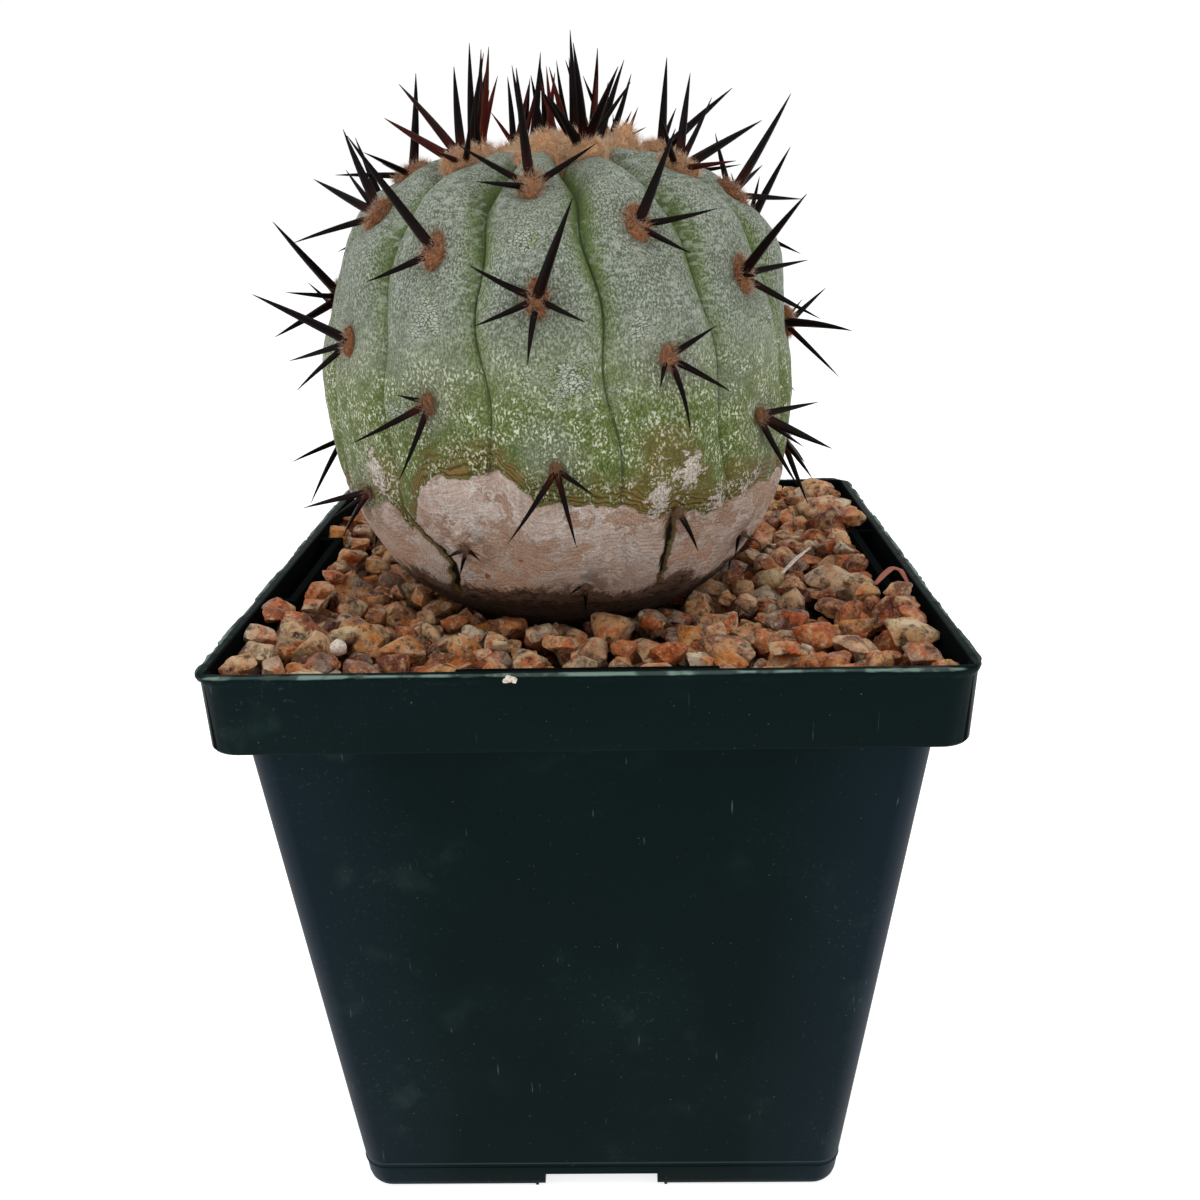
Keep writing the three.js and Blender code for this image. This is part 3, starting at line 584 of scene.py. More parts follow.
# %% Where the ribs and areoles are
RIBS, RIB_STEP = 13, 8
FRONT_RIB_AZIMUTH, RIB_TWIST, GROOVE_WEAVE = -2.5, 3.1, 1.1
AREOLE_SPACING, FIRST_AREOLE_ARC, CROWDING_PHASE = 21.2, 26.8, -0.3
FIRST_CROWN_AREOLE, LAST_CROWN_AREOLE, LAST_STEM_AREOLE = -30, -10, 41
CROWDING_ARC = FIRST_AREOLE_ARC + AREOLE_SPACING * CROWDING_PHASE

# Small places where an areole is off the regular spiral: (degrees round, mm down).
AREOLE_SHIFTS = {
    -8: (0, -1), -5: (-8, 1), -3: (8, 1), 3: (0, 1.2), 8: (2.3, -1.2), 10: (0, 0.6), 11: (0, 3),
    13: (0, -2.6), 15: (0, 1.5), 18: (0, -1.9), 21: (0, -0.8), 23: (0, 0.6), 24: (0, 5),
    29: (0, 2), 34: (2, 0.6), 39: (3.5, 0),
}
rib_phase = np.empty(RIBS)
for areole in range(RIBS):
    rib_phase[RIB_STEP * areole % RIBS] = areole / RIBS


def arc_of(phase):
    """How far down an areole is, by its number over the number of ribs."""
    crowded = CROWDING_ARC * np.exp((phase - CROWDING_PHASE) * AREOLE_SPACING / CROWDING_ARC)
    return np.where(phase > CROWDING_PHASE, FIRST_AREOLE_ARC + AREOLE_SPACING * phase, crowded)


def phase_of(arc):
    crowded = np.log(np.maximum(arc, 0.1) / CROWDING_ARC) * CROWDING_ARC / AREOLE_SPACING
    return np.where(
        arc > CROWDING_ARC, (arc - FIRST_AREOLE_ARC) / AREOLE_SPACING, CROWDING_PHASE + crowded
    )


def rib_azimuth(rib, phase):
    return FRONT_RIB_AZIMUTH + 360 / RIBS * rib + RIB_TWIST * (phase - 1)


# %% The ribbed skin
GROOVE_DEPTHS = [
    (0, 0), (8, 2.8), (20, 4.6), (32, 3.6), (45, 2.0), (60, 1.1), (75, 0.6), (88, 0.2), (92, 0),
]
CREST_SQUARENESS = [(10, 2), (22, 2.3), (32, 3), (45, 4), (60, 6)]
CREST_SWELL = 0.7
CREST_SWELL_FADE = [(15, 0), (30, 1), (85, 0)]
HIP_RIB, HIP_ARC, HIP_RISE, HIP_REACH = 10, 62, 1.4, 9


def side_swell(rib, arc):
    """How much a rib is widened at a distance down it: 1 at an areole, -1 between two."""
    return np.cos(2 * math.pi * (phase_of(arc) - rib_phase[rib % RIBS]))


def groove_shift(rib, arc):
    """Degrees that the groove on the right of a rib is pushed aside by the areoles near it."""
    pushed = side_swell(rib, arc) - side_swell(rib + 1, arc)
    return GROOVE_WEAVE * pushed / 2 * along([(8, 0), (25, 1)], arc)


def skin_azimuth(rib, across, arc):
    half = 180 / RIBS
    right, left = half + groove_shift(rib, arc), half - groove_shift(rib - 1, arc)
    return rib_azimuth(rib, phase_of(arc)) + across * np.where(across < 0, left, right)


def skin_lift(rib, across, arc):
    """How far the ribbed skin stands off the smooth stem: across is -1 and 1 in the grooves."""
    fall = along(GROOVE_DEPTHS, arc) * np.abs(across) ** along(CREST_SQUARENESS, arc)
    hip = np.where(rib == HIP_RIB, HIP_RISE * np.exp(-(((arc - HIP_ARC) / HIP_REACH) ** 2)), 0)
    swell = hip - CREST_SWELL * side_swell(rib, arc) * along(CREST_SWELL_FADE, arc)
    return (1 - across**2) * swell - fall


# %% [markdown]
# The lower stem has turned to cork, as the bark of a young tree does. Its edge wanders between
# the ribs, and two long cracks run down from it. These are lines over azimuth and arc: a few
# places where the edge is known, and noise to fray it.

# %% The edge of the cork, and its cracks
CORK_EDGE = [  # (azimuth, arc)
    (-135, 75), (-90, 77), (-56, 79), (-42, 77), (-39.5, 81), (-36, 79), (-31, 71.8), (-20, 69.7),
    (-12, 69.5), (-4.4, 74.2), (10, 74.2), (16, 75), (23.6, 78), (38, 78), (60, 75.5), (90, 77),
    (135, 74.5), (180, 78),
]
CRACKS = [  # each runs down from the edge: (arc, azimuth)
    [(77, -41), (82.8, -31.9), (86, -29.3), (96.5, -34)],
    [(77.5, 28.4), (83.4, 28.3), (93.1, 29.1)],
    [(78, 84), (85, 79), (95, 83)],
    [(76, 131), (84, 137), (92, 134)],
    [(79, -168), (86, -172), (96, -166)],
    [(77, -112), (83, -107), (94, -110)],
]
CRACK_WIDTH = 0.62

# Round patches, each (azimuth, arc, radius in mm).
SCABS = [  # pale crust above the edge
    (24.5, 74.8, 2.2), (30.5, 71, 1.9), (22, 77, 0.9), (41, 77, 1.8), (50, 75.5, 1.5),
    (-48, 71.5, 2.2), (-45, 74, 1.2), (150, 70, 2.5), (-120, 70, 1.8), (95, 72, 2.2),
]
STAINS = [(26, 72, 7.5), (-46, 73, 5), (48, 75, 5), (150, 70, 6), (-120, 70, 5), (95, 72, 5)]
CRINKLES = [  # where the wax has split into plates
    (-7, 37, 4.5), (3, 57, 5.5), (-28, 48, 4), (21, 50, 4), (-25, 62, 3.5), (14, 58, 3),
    (-38, 62, 4), (31, 56, 3.5), (60, 50, 5), (95, 50, 6), (140, 55, 6), (-75, 52, 5),
    (-120, 52, 6), (180, 48, 5),
]
VEILS = [  # smooth wax
    (-1.5, 65, 4), (-38, 54, 4), (44, 58, 4), (110, 60, 5), (-100, 60, 5), (170, 62, 5),
]
SPOTS = [(-19, 87.6, 0.55), (-9, 84, 0.3), (60, 86, 0.5), (-130, 84, 0.5)]  # rust-brown dots


def crack_depths(azimuth, arc, wander):
    """0 away from the cracks and 1 in the middle of one."""
    radius = np.interp(arc, OUTLINE_ARC, OUTLINE_RADIUS)
    deepest = np.zeros(arc.shape)
    for crack in CRACKS:
        top, foot = crack[0][0], crack[-1][0]
        away = (azimuth - along(crack, arc) + 180) % 360 - 180
        span = np.radians(away) * radius + wander
        ends = eased(top - 1, top + 2, arc) * eased(foot, foot - 5, arc)
        width = CRACK_WIDTH * (0.55 + 0.45 * ends)
        deepest = np.maximum(deepest, np.exp(-((span / width) ** 2)) * ends)
    return deepest


# %% [markdown]
# The fine skin is a grid of points, half a millimetre apart. Formulas place the big form, and
# noise adds what grew by chance: soft dents, a pit under each felt pad, flakes of cork. The grid
# also keeps what the paint will need, such as the distance to the cork's edge, as numbers on its
# points. They move with the skin, so colour and form always agree.

# %% Grow the skin
COLUMNS_PER_RIB, ROWS, SKIN_END = 32, 196, 101

step = np.linspace(-1, 1, COLUMNS_PER_RIB + 1)[:-1]
step = 0.55 * step + 0.45 * np.sin(step * math.pi / 2)  # closer together towards the grooves
across, arc = np.meshgrid(np.tile(step, RIBS), np.linspace(SKIN_END, 0.5, ROWS))
rib = np.tile(np.repeat(np.arange(RIBS), COLUMNS_PER_RIB), (ROWS, 1))
azimuth = skin_azimuth(rib, across, arc)
smooth_point, normal, _, _ = stem_place(azimuth, arc)
point = smooth_point + normal * skin_lift(rib, across, arc)[..., None]

areole_numbers = np.arange(LAST_CROWN_AREOLE + 1, LAST_STEM_AREOLE + 1)
areole_phase = areole_numbers / RIBS
shifts = np.array([AREOLE_SHIFTS.get(areole, (0, 0)) for areole in areole_numbers.tolist()])
areole_arc = arc_of(areole_phase) + shifts[:, 1]
areole_turn = rib_azimuth(RIB_STEP * areole_numbers % RIBS, areole_phase) + shifts[:, 0]
areole_point, areole_normal, areole_up, areole_right = stem_place(areole_turn, areole_arc)
areole_point -= areole_normal * (CREST_SWELL * along(CREST_SWELL_FADE, areole_arc))[:, None]

near_areole = np.full(arc.shape, 99.0)
for place_of_one in areole_point:
    near_areole = np.minimum(near_areole, np.linalg.norm(point - place_of_one, axis=-1))


def inside_patches(patches):
    """How far each point of the grid is inside the nearest patch, in mm."""
    inside = np.full(arc.shape, -20.0)
    for turn, down, radius in patches:
        sideways_mm = np.radians((azimuth - turn + 180) % 360 - 180) * STEM_RADIUS
        inside = np.maximum(inside, radius - np.hypot(sideways_mm, arc - down))
    return inside


fray = 1.3 * rough(point, 4.5, 1) + 0.7 * rough(point, 1.5, 2)
cork = arc - np.interp(azimuth, *zip(*CORK_EDGE), period=360) + fray
torn = 1.8 * rough(point, 2.4, 11) + 1.2 * rough(point, 0.9, 12)
scab = inside_patches(SCABS) + torn
stain = inside_patches(STAINS) + torn + 2.2 * rough(point, 5, 14)
crinkled = inside_patches(CRINKLES) + 2.6 * rough(point, 4, 15) + torn
veil = inside_patches(VEILS) + 1.5 * rough(point, 5, 16)
spot = inside_patches(SPOTS)
soil = arc - 91 + 3.2 * rough(point, 8, 13) + 1.2 * rough(point, 2.5, 17)
crack = crack_depths(azimuth, arc, 0.7 * rough(point, 2.2, 3) + 0.35 * rough(point, 0.8, 4))
on_cork = eased(-0.4, 0.5, cork)
flake = eased(0.05, 0.2, rough(point, 5, 5) + 0.5 * rough(point, 1.6, 6)) * eased(0.6, 2, cork)
valley = np.abs(across) ** 3 * np.clip(along(GROOVE_DEPTHS, arc) / 3, 0, 1)
crease = eased(0.955, 1, np.abs(across)) * (1 - 0.8 * on_cork)

lift = 0.45 * rough(point, 9, 7) + 0.12 * rough(point, 2.5, 8) - 0.35 * eased(-2, 3, veil)
lift -= 0.55 * np.exp(-((near_areole / 3.4) ** 2))
lift += on_cork * (0.16 + 0.14 * flake) - 0.95 * crack + 0.22 * eased(-0.2, 0.5, scab)
lift += 0.12 * eased(-2.5, 0, cork) * rough(point, 0.9, 9)
lift -= 0.35 * crease * eased(20, 34, arc)
point += normal * (lift * eased(4, 12, arc))[..., None]

root = [
    np.column_stack([
        STEM_X + radius * np.sin(np.radians(azimuth[0])),
        STEM_Y - radius * np.cos(np.radians(azimuth[0])),
        np.full(azimuth.shape[1], float(z)),
    ])
    for z, radius in ROOT
]
skin_points, skin_faces = loft(root + list(point))


def on_skin(values, below=0.0):
    """A trait of the grid, with a value for the root's rings and for the two end points."""
    rings = np.full((len(ROOT), values.shape[1]), below)
    return np.concatenate([rings, values]).ravel().tolist() + [below, float(values[-1].mean())]


cactus_skin = make_mesh(
    "cactus_skin", skin_points, skin_faces, arc=on_skin(arc, 101.0), cork=on_skin(cork, 20.0),
    valley=on_skin(valley), crease=on_skin(crease), crack=on_skin(crack),
    felt_distance=on_skin(near_areole, 30.0), scab=on_skin(scab, -20.0), soil=on_skin(soil, 9.0),
    stain=on_skin(stain, -20.0), crinkled=on_skin(crinkled, -20.0), veil=on_skin(veil, -20.0),
    spot=on_skin(spot, -20.0),
)
print("cactus_skin:", 2 * len(skin_faces), "triangles,", len(areole_numbers), "areoles")

# %% [markdown]
# ## Waxy skin that turns to cork
#
# The living skin is green, under a bloom of wax that scatters light and reads as silver-grey.
# The wax is whole near the crown, wears off in the grooves, and breaks into small white scales
# lower down, where the green shows between them. At the edge of the cork the skin dries to
# ochre. The cork is matt, beige to pink, with pale crust and brown stains, and it is dark with
# soil where the gravel touches it.
#
# Each layer is a share from 0 to 1, made from the numbers kept on the skin and from noise.

# %% Material of the skin: what the shares are made from
waxy_skin, tree, shader, place = start_material(
    "waxy_skin_turning_to_cork", Roughness=0.6, IOR=1.4, Specular_IOR_Level=0.25
)
kept = sources_of(tree, (
    "arc", "cork", "valley", "crease", "crack", "felt_distance", "scab", "soil", "stain",
    "crinkled", "veil", "spot",
), place, {"bent": (1.4, 2)})
PATTERNS = {
    # name: (size in mm, detail, stretch along z)
    "grain": (0.26, 2, 0.6), "speck": (0.36, 2.5, 0.7), "patch": (7, 3, 1), "cloud": (17, 2, 1),
    "blotch": (2.8, 5, 1), "island": (13, 8, 1.2), "isle": (5.5, 7, 1.3), "flake": (1.1, 5, 2),
    "streak": (0.7, 3, 0.25), "crinkle": (1.5, 4, 2.2),
}
for name, (size, detail, stretch) in PATTERNS.items():
    long = add(tree, "ShaderNodeMapping", {"Vector": place, "Scale": (1, 1, stretch)})
    kept |= sources_of(tree, (), long, {name: (size, detail)}, Roughness=0.6)

# Cells: the wax splits into small plates, wider than they are high.
bent = {0: kept["bent"].outputs["Color"], 3: 1.0 * MM}
pushed = add(tree, "ShaderNodeVectorMath", bent, operation="SCALE")
wavy = add(tree, "ShaderNodeVectorMath", {0: place, 1: pushed}, operation="ADD")
flat = add(tree, "ShaderNodeMapping", {"Vector": wavy, "Scale": (1, 1, 1.9)})
cells = {"Vector": flat, "Scale": 1 / (0.72 * MM)}
kept["cell"] = add(tree, "ShaderNodeTexVoronoi", cells, feature="DISTANCE_TO_EDGE")

# Wrinkles run along the edge of the cork, where the skin dries: a wave over the distance to it.
bowed = add(tree, "ShaderNodeMath", {0: kept["blotch"], 1: 12.0}, operation="MULTIPLY")
steep = add(tree, "ShaderNodeMath", {0: kept["cork"], 1: 7.5}, operation="MULTIPLY")
phase = add(tree, "ShaderNodeMath", {0: steep, 1: bowed}, operation="ADD")
kept["wrinkle"] = add(tree, "ShaderNodeMath", {0: phase}, operation="SINE")

# The edges kept on the grid are half a millimetre coarse, so fine noise frays them further.
for name, fringe, reach in (("cork", "flake", 2.2), ("scab", "flake", 12), ("soil", "streak", 6)):
    ragged = add(tree, "ShaderNodeMath", {0: kept[fringe], 1: 0.5}, operation="SUBTRACT")
    ragged = add(tree, "ShaderNodeMath", {0: ragged, 1: reach}, operation="MULTIPLY")
    kept[name] = add(tree, "ShaderNodeMath", {0: kept[name], 1: ragged}, operation="ADD")

# Each share runs from 0 at its first limit to 1 at its second, in the units of its source.
share = shares_of(tree, kept, {
    "top": ("arc", 50, 30), "upper": ("arc", 62, 44), "lower": ("arc", 50, 64),
    "flecked": ("arc", 46, 60), "low": ("arc", 78, 91),
    "flank_wear_and_shade": ("valley", 0.1, 0.5), "trough": ("valley", 0.35, 0.9), "ridge": ("valley", 0.75, 0.2),
    "crease": ("crease", 0.1, 0.9), "halo": ("felt_distance", 6.5, 2.5),
    "dark_grain": ("grain", 0.52, 0.40), "light_grain": ("grain", 0.48, 0.60),
    "specks": ("speck", 0.53, 0.57), "patches": ("patch", 0.46, 0.58),
    "clouds": ("cloud", 0.44, 0.6), "blotches": ("blotch", 0.50, 0.60),
    "holes": ("blotch", 0.54, 0.59), "bare": ("blotch", 0.56, 0.45),
    "crinkled": ("crinkled", 0, 4.5), "plates": ("cell", 0.05, 0.12), "gaps": ("cell", 0.09, 0.03),
    "crinkles": ("crinkle", 0.52, 0.58), "folds": ("crinkle", 0.47, 0.41),
    "veil": ("veil", -2, 2), "stained": ("stain", -1.5, 2.5), "scab": ("scab", -0.2, 0.2),
    "fringe": ("cork", -5.5, -1.5), "wrinkled": ("wrinkle", 0.3, 0.9),
    "edge": ("cork", -0.7, -0.15), "cork": ("cork", -0.1, 0.1), "deep": ("cork", 1, 9),
    "islands": ("island", 0.52, 0.53), "isles": ("isle", 0.52, 0.53),
    "flakes": ("flake", 0.50, 0.62), "streaks": ("streak", 0.5, 0.62),
    "soil": ("soil", -1.2, 0.8), "deep_soil": ("soil", 1.5, 5),
    "lips": ("crack", 0.08, 0.3), "gash": ("crack", 0.45, 0.75), "spot": ("spot", -0.25, 0.15),
}, "SMOOTHSTEP")
for name in ("island", "isle"):
    rim = {0: kept[name], 1: 0.53, 2: 0.012}
    share[name + "_rim"] = add(tree, "ShaderNodeMath", rim, operation="COMPARE")

# %% Material of the skin: the layers of colour
SKIN_LAYERS = [
    # (colour, strength, shares): first the living skin
    ("#586620", 0.95, "lower"), ("#3E5012", 0.75, "lower", "blotches"),
    ("#828A7E", 0.88, "upper", "ridge"), ("#98A096", 0.6, "upper", "clouds"),
    ("#6C6D5F", 0.5, "upper", "blotches", "patches"), ("#9AA294", 0.55, "top", "ridge"),
    # Painted shade: each rib's flanks darken towards the grooves; the green there is also wax worn
    # thin.
    ("#6E7D45", 0.7, "flank_wear_and_shade"), ("#546B30", 0.7, "trough"), ("#6B6A59", 0.5, "halo"),
    ("#6E7768", 0.6, "veil"), ("#5A6348", 0.5, "folds", "bare"),
    ("#414D35", 0.55, "upper", "dark_grain"), ("#C0C8B8", 0.55, "upper", "light_grain", "ridge"),
    ("#3E4A1C", 0.3, "dark_grain"), ("#B2B9AD", 0.5, "upper", "crinkles", "patches"),
    ("#545C4A", 0.45, "upper", "folds", "patches"),
    ("#E0E6CE", 0.92, "flecked", "specks", "bare"),
    ("#CFD6B8", 0.55, "flecked", "specks", "patches"), ("#A2AE7C", 0.4, "flecked", "light_grain"),
    ("#C4CABC", 0.85, "crinkled", "plates"), ("#5C701E", 0.75, "crinkled", "holes"),
    ("#3A4820", 0.8, "crinkled", "gaps"), ("#D4DBBC", 0.8, "crinkled", "holes", "specks"),
    # Painted shade: dark lines down the creases of the grooves, darker in the deep grooves near the
    # crown.
    ("#2F3D18", 0.5, "crease"), ("#222D12", 0.6, "crease", "upper"),
    ("#7A682E", 0.62, "stained"), ("#5A5020", 0.6, "stained", "blotches"),
    ("#3A4216", 0.6, "stained", "gaps"),
    ("#67622A", 0.85, "fringe"), ("#86673A", 0.7, "fringe", "blotches"),
    ("#32330F", 0.75, "fringe", "wrinkled"), ("#DAD4BC", 0.75, "fringe", "specks", "bare"),
    ("#D9D0BC", 0.8, "stained", "specks", "bare"),
    ("#2A2A0C", 0.7, "edge", "flakes"), ("#4A4A1C", 0.5, "edge"),
    ("#C3B6AB", 0.95, "scab"), ("#E2DAD2", 0.8, "scab", "light_grain"),
    ("#8A7A64", 0.6, "scab", "dark_grain"),
    # then the cork over it
    ("#B5947E", 1.0, "cork"), ("#9A7863", 0.55, "cork", "blotches", "deep"),
    # Painted light: the cork low on the stem is lightened, so its underside reads as lit from the
    # front.
    ("#F0C4A6", 0.7, "cork", "low"), ("#CDB5A8", 0.8, "cork", "islands"),
    ("#D6C2B7", 0.6, "cork", "isles"), ("#EADFD7", 0.8, "cork", "island_rim"),
    ("#E0D2C8", 0.6, "cork", "isle_rim"), ("#8F6F5C", 0.3, "cork", "dark_grain"),
    ("#DCCEC4", 0.3, "cork", "light_grain"), ("#E4D8CE", 0.35, "cork", "streaks", "islands"),
    ("#6D5440", 0.5, "cork", "halo", "bare"),
    # and the soil, the cracks and the rusty dots on both
    ("#523824", 0.85, "soil"), ("#94735A", 0.5, "soil", "streaks"),
    ("#22150D", 0.6, "soil", "folds"), ("#24150C", 0.75, "deep_soil"),
    # Painted shade: each crack is near black in its middle, where the fissure lies in shade.
    ("#6A5A2A", 0.9, "lips"), ("#120D08", 0.97, "gash"), ("#9C4A1C", 0.9, "spot"),
]
colour = paint(tree, "#737C5A", share, SKIN_LAYERS)
matt = add(tree, "ShaderNodeMapRange", {"Value": share["cork"], "To Min": 0.55, "To Max": 0.9})

# Relief too fine for the grid: grain of the wax, plates, specks, wrinkles and flakes of cork.
relief = 0.0
for height in (
    (0.5, "light_grain", "ridge"), (0.8, "upper", "crinkles", "ridge"), (1.4, "crinkled", "plates"),
    (0.9, "flecked", "specks", "bare"), (-0.9, "fringe", "wrinkled"), (1.0, "scab"),
    (0.9, "cork", "isles"), (0.9, "cork", "islands"), (0.5, "cork", "flakes"),
    (0.8, "soil", "streaks"),
):
    pair = {0: relief, 1: product(tree, share, *height)}
    relief = add(tree, "ShaderNodeMath", pair, operation="ADD")
bump = add(tree, "ShaderNodeBump", {"Strength": 0.9, "Distance": 0.2 * MM, "Height": relief})
connect(tree, shader, {"Base Color": colour, "Roughness": matt, "Normal": bump})
cactus_skin.data.materials.append(waxy_skin)
print("skin material:", len(tree.nodes), "nodes")

# %% [markdown]
# ## Spines
#
# A spine is a hardened leaf: a stiff cone, thick at its root, a little bowed, dark as horn. Each
# areole carries a ring of radials and, when young, one longer central. On the front areoles each
# one is described by a clock hand seen from outside, how far it tilts from the skin, and its
# length. The others follow a general rule.

# %% Where every spine goes
PAD_WIDTH, PAD_HEIGHT, PAD_RISE = 3, 5.6, 1.0
SPINE_RADIUS, CENTRAL_SPINE_RADIUS, SPINE_ROOT = 0.56, 0.82, 1.2
CENTRAL_LENGTH = 13.4  # a spine longer than this is a thick one

# Areole: (clock direction, tilt from the skin's normal, length in mm) of each spine.
FRONT_SPINES = {
    -8: [(-137, 55, 14), (174, 42, 16), (-149, 30, 17), (80, 40, 12)],
    -7: [(-28, 16, 16.5), (15, 15, 17), (-43, 21, 14), (-110, 62, 11), (170, 62, 10)],
    -6: [(15, 8, 14.5), (-177, 38, 15.5), (120, 30, 9), (-100, 60, 10)],
    -5: [(-103, 56, 13.5), (116, 52, 11), (-84, 45, 16), (-30, 30, 14), (150, 66, 9)],
    -3: [(-163, 63, 11), (113, 52, 14.5), (44, 40, 15), (70, 44, 13), (-89, 50, 11)],
    0: [(-10, 42, 15.5), (67, 68, 9), (-70, 68, 10.5), (-142, 58, 10)],
    2: [(67, 30, 18.5), (90, 63, 11.5), (139, 61, 12), (20, 60, 9)],
    3: [(-90, 55, 13.5), (-149, 62, 13), (-45, 48, 14), (-68, 62, 11)],
    5: [(26, 35, 13.5), (92, 69, 10), (151, 62, 9)],
    8: [(-36, 41, 18.5), (-130, 68, 10.5)],
    10: [(-34, 28, 17.5), (90, 67, 11.5), (-107, 42, 6), (136, 63, 13)],
    11: [(36, 50, 15.5), (87, 59, 12.5), (123, 56, 13.5)],
    13: [(31, 42, 17.5), (-65, 67, 9.5), (-117, 66, 9), (-175, 65, 9.5), (119, 61, 8)],
    15: [(-96, 47, 14.5), (-138, 54, 13)],
    16: [(-57, 42, 16), (-111, 62, 12), (-137, 63, 12.5)],
    18: [(58, 69, 7), (124, 69, 9.5), (177, 68, 10.5), (-141, 54, 5)],
    21: [(-76, 70, 4), (-119, 67, 12), (-165, 68, 11)],
    23: [(87, 68, 11), (121, 59, 13.5), (126, 71, 10), (163, 65, 12)],
    24: [(93, 58, 12.5), (135, 64, 12)],
    26: [(-143, 68, 11.5), (165, 68, 10.5), (120, 64, 6)],
    29: [(-102, 58, 13), (-137, 72, 10.5), (-120, 60, 8)],
    31: [(154, 72, 6.5)],
    34: [(-105, 60, 2.6), (-160, 70, 3.6), (100, 60, 2.6)],
    39: [(178, 76, 4.4), (-90, 55, 2)],
}


def general_spines(areole):
    """The spines of an areole with no list of its own."""
    phase, seed = areole / RIBS, 7 * areole + 300
    if phase > 2.5:
        return [
            (between(-160, -110, seed), 62, between(2.5, 4.5, seed + 1)),
            (between(110, 160, seed + 2), 62, between(2.5, 4, seed + 3)),
        ]
    crowded = phase < 0 or phase > 2
    radials, spread = (3, 210) if crowded else (4, 360)
    spines = [
        (
            180 - spread / 2 + spread * (i + 0.5) / radials + between(-14, 14, seed + i),
            between(60, 70, seed + i + 20),
            between(8.5, 12.5, seed + i + 40),
        )
        for i in range(radials)
    ]
    if phase < 2:
        clock, tilt = between(-30, 30, seed + 60), between(28, 42, seed + 61)
        spines.append((clock, tilt, between(14, 17.5, seed + 62)))
    return spines


SPINE_TRAITS = "base", "aim", "length", "thickness", "bow", "tone"
spines = {trait: [] for trait in SPINE_TRAITS}


def plant_spine(spines, base, aim, length, radius, seed, red, bow=None):
    """Notes one spine. Its bow is how far its tip is carried off its first direction, in mm."""
    aim = np.asarray(aim, float) / np.linalg.norm(aim)
    if bow is None:
        chances = [between(-1, 1, seed + shift) for shift in range(3)]
        bow = np.cross(aim, chances) * 0.07 * length
    start = aim * length - bow
    spines["base"].append(base - aim * SPINE_ROOT)
    spines["aim"].append(start / np.linalg.norm(start))
    spines["length"].append((length + SPINE_ROOT) * MM)
    spines["thickness"].append(radius * MM)
    spines["bow"].append(bow * MM)
    spines["tone"].append(red)


BOWED_SPINES = {
    # (areole, spine): how far it is bowed to the right of the plant and upwards, in mm
    (18, 2): (-2.6, -0.4), (31, 0): (-0.9, -0.3), (16, 2): (1.4, -0.6), (13, 1): (0.5, 0.9),
    (0, 1): (0.4, 1.2), (0, 2): (0, 1.0), (5, 1): (0.6, 1.0), (24, 1): (-0.6, -1.4),
    (8, 1): (0.5, 0.9),
}
for index, areole in enumerate(areole_numbers.tolist()):
    outward, up, right = areole_normal[index], areole_up[index], areole_right[index]
    described = FRONT_SPINES.get(areole) or general_spines(areole)
    for order, (clock, tilt, length) in enumerate(described):
        lean, hand = math.sin(math.radians(tilt)), math.radians(clock)
        spread = up * math.cos(hand) + right * math.sin(hand)
        aim = outward * math.cos(math.radians(tilt)) + lean * spread
        radius = CENTRAL_SPINE_RADIUS if length > CENTRAL_LENGTH else SPINE_RADIUS
        radius *= min(1, 0.45 + length / 14)
        root = areole_point[index] + spread * 0.9 * (tilt > 45)
        seed = 97 * areole + 13 * order + 5000
        bow = None
        if (areole, order) in BOWED_SPINES:
            rightwards, upwards = BOWED_SPINES[areole, order]
            bow = right * rightwards + up * upwards
        red = float(between(0, 0.75 if areole < 3 else 0.35, seed + 7))
        plant_spine(spines, root, aim, float(length), radius, seed, red, bow)
print(len(spines["base"]), "spines on the stem")

# %% [markdown]
# Geometry Nodes turn the list into spines. The points carry each spine's aim, size, bow and tone.
# One cone is kept as a pattern: its profile is filled out so that it tapers late, like a real
# spine. It is put on every point, turned to its aim, stretched to its length, and only then bent
# by its own bow, more towards the tip.

# %% The tree for spines, and the stem's spines
spine_horn, tree, shader, place = start_material(
    "glossy_spine_horn", Roughness=0.38, IOR=1.5, Specular_IOR_Level=0.06
)
kept = sources_of(tree, ("along", "tone"), place, {"streak": (0.5, 4)})
share = shares_of(tree, kept, {"root": ("along", 0.42, 0.02, 0.7)}, "SMOOTHSTEP")
share |= shares_of(tree, kept, {
    "worn": ("streak", 0.5, 0.75, 0.5), "ruddy": ("tone", 0.6, 0.95),
    "tip": ("along", 0.86, 1, 0.5),
})
colour = paint(tree, "#0C0606", share | kept, [
    ("#561A0D", 1, "ruddy"), ("#180D0B", 1, "worn"), ("#6E250E", 1, "root", "tone"),
    ("#080303", 1, "tip"),
])
bump = {"Strength": 0.35, "Distance": 0.05 * MM, "Height": kept["streak"]}
bump = add(tree, "ShaderNodeBump", bump)
connect(tree, shader, {"Base Color": colour, "Normal": bump})


def pattern_cone(tree, **shape):
    """A cone of radius and depth 1, that knows how far along it each point is, and that share."""
    shape = {name.replace("_", " "): value for name, value in shape.items()}
    cone = add(tree, "GeometryNodeMeshCone", {"Radius Bottom": 1.0, "Depth": 1.0, **shape})
    at = add(tree, "GeometryNodeInputPosition")
    share = add(tree, "ShaderNodeSeparateXYZ", {0: at}).outputs["Z"]
    marked = add(
        tree, "GeometryNodeStoreNamedAttribute", {0: cone, 2: "along", 3: share},
        data_type="FLOAT", domain="POINT",
    )
    return marked, at, share


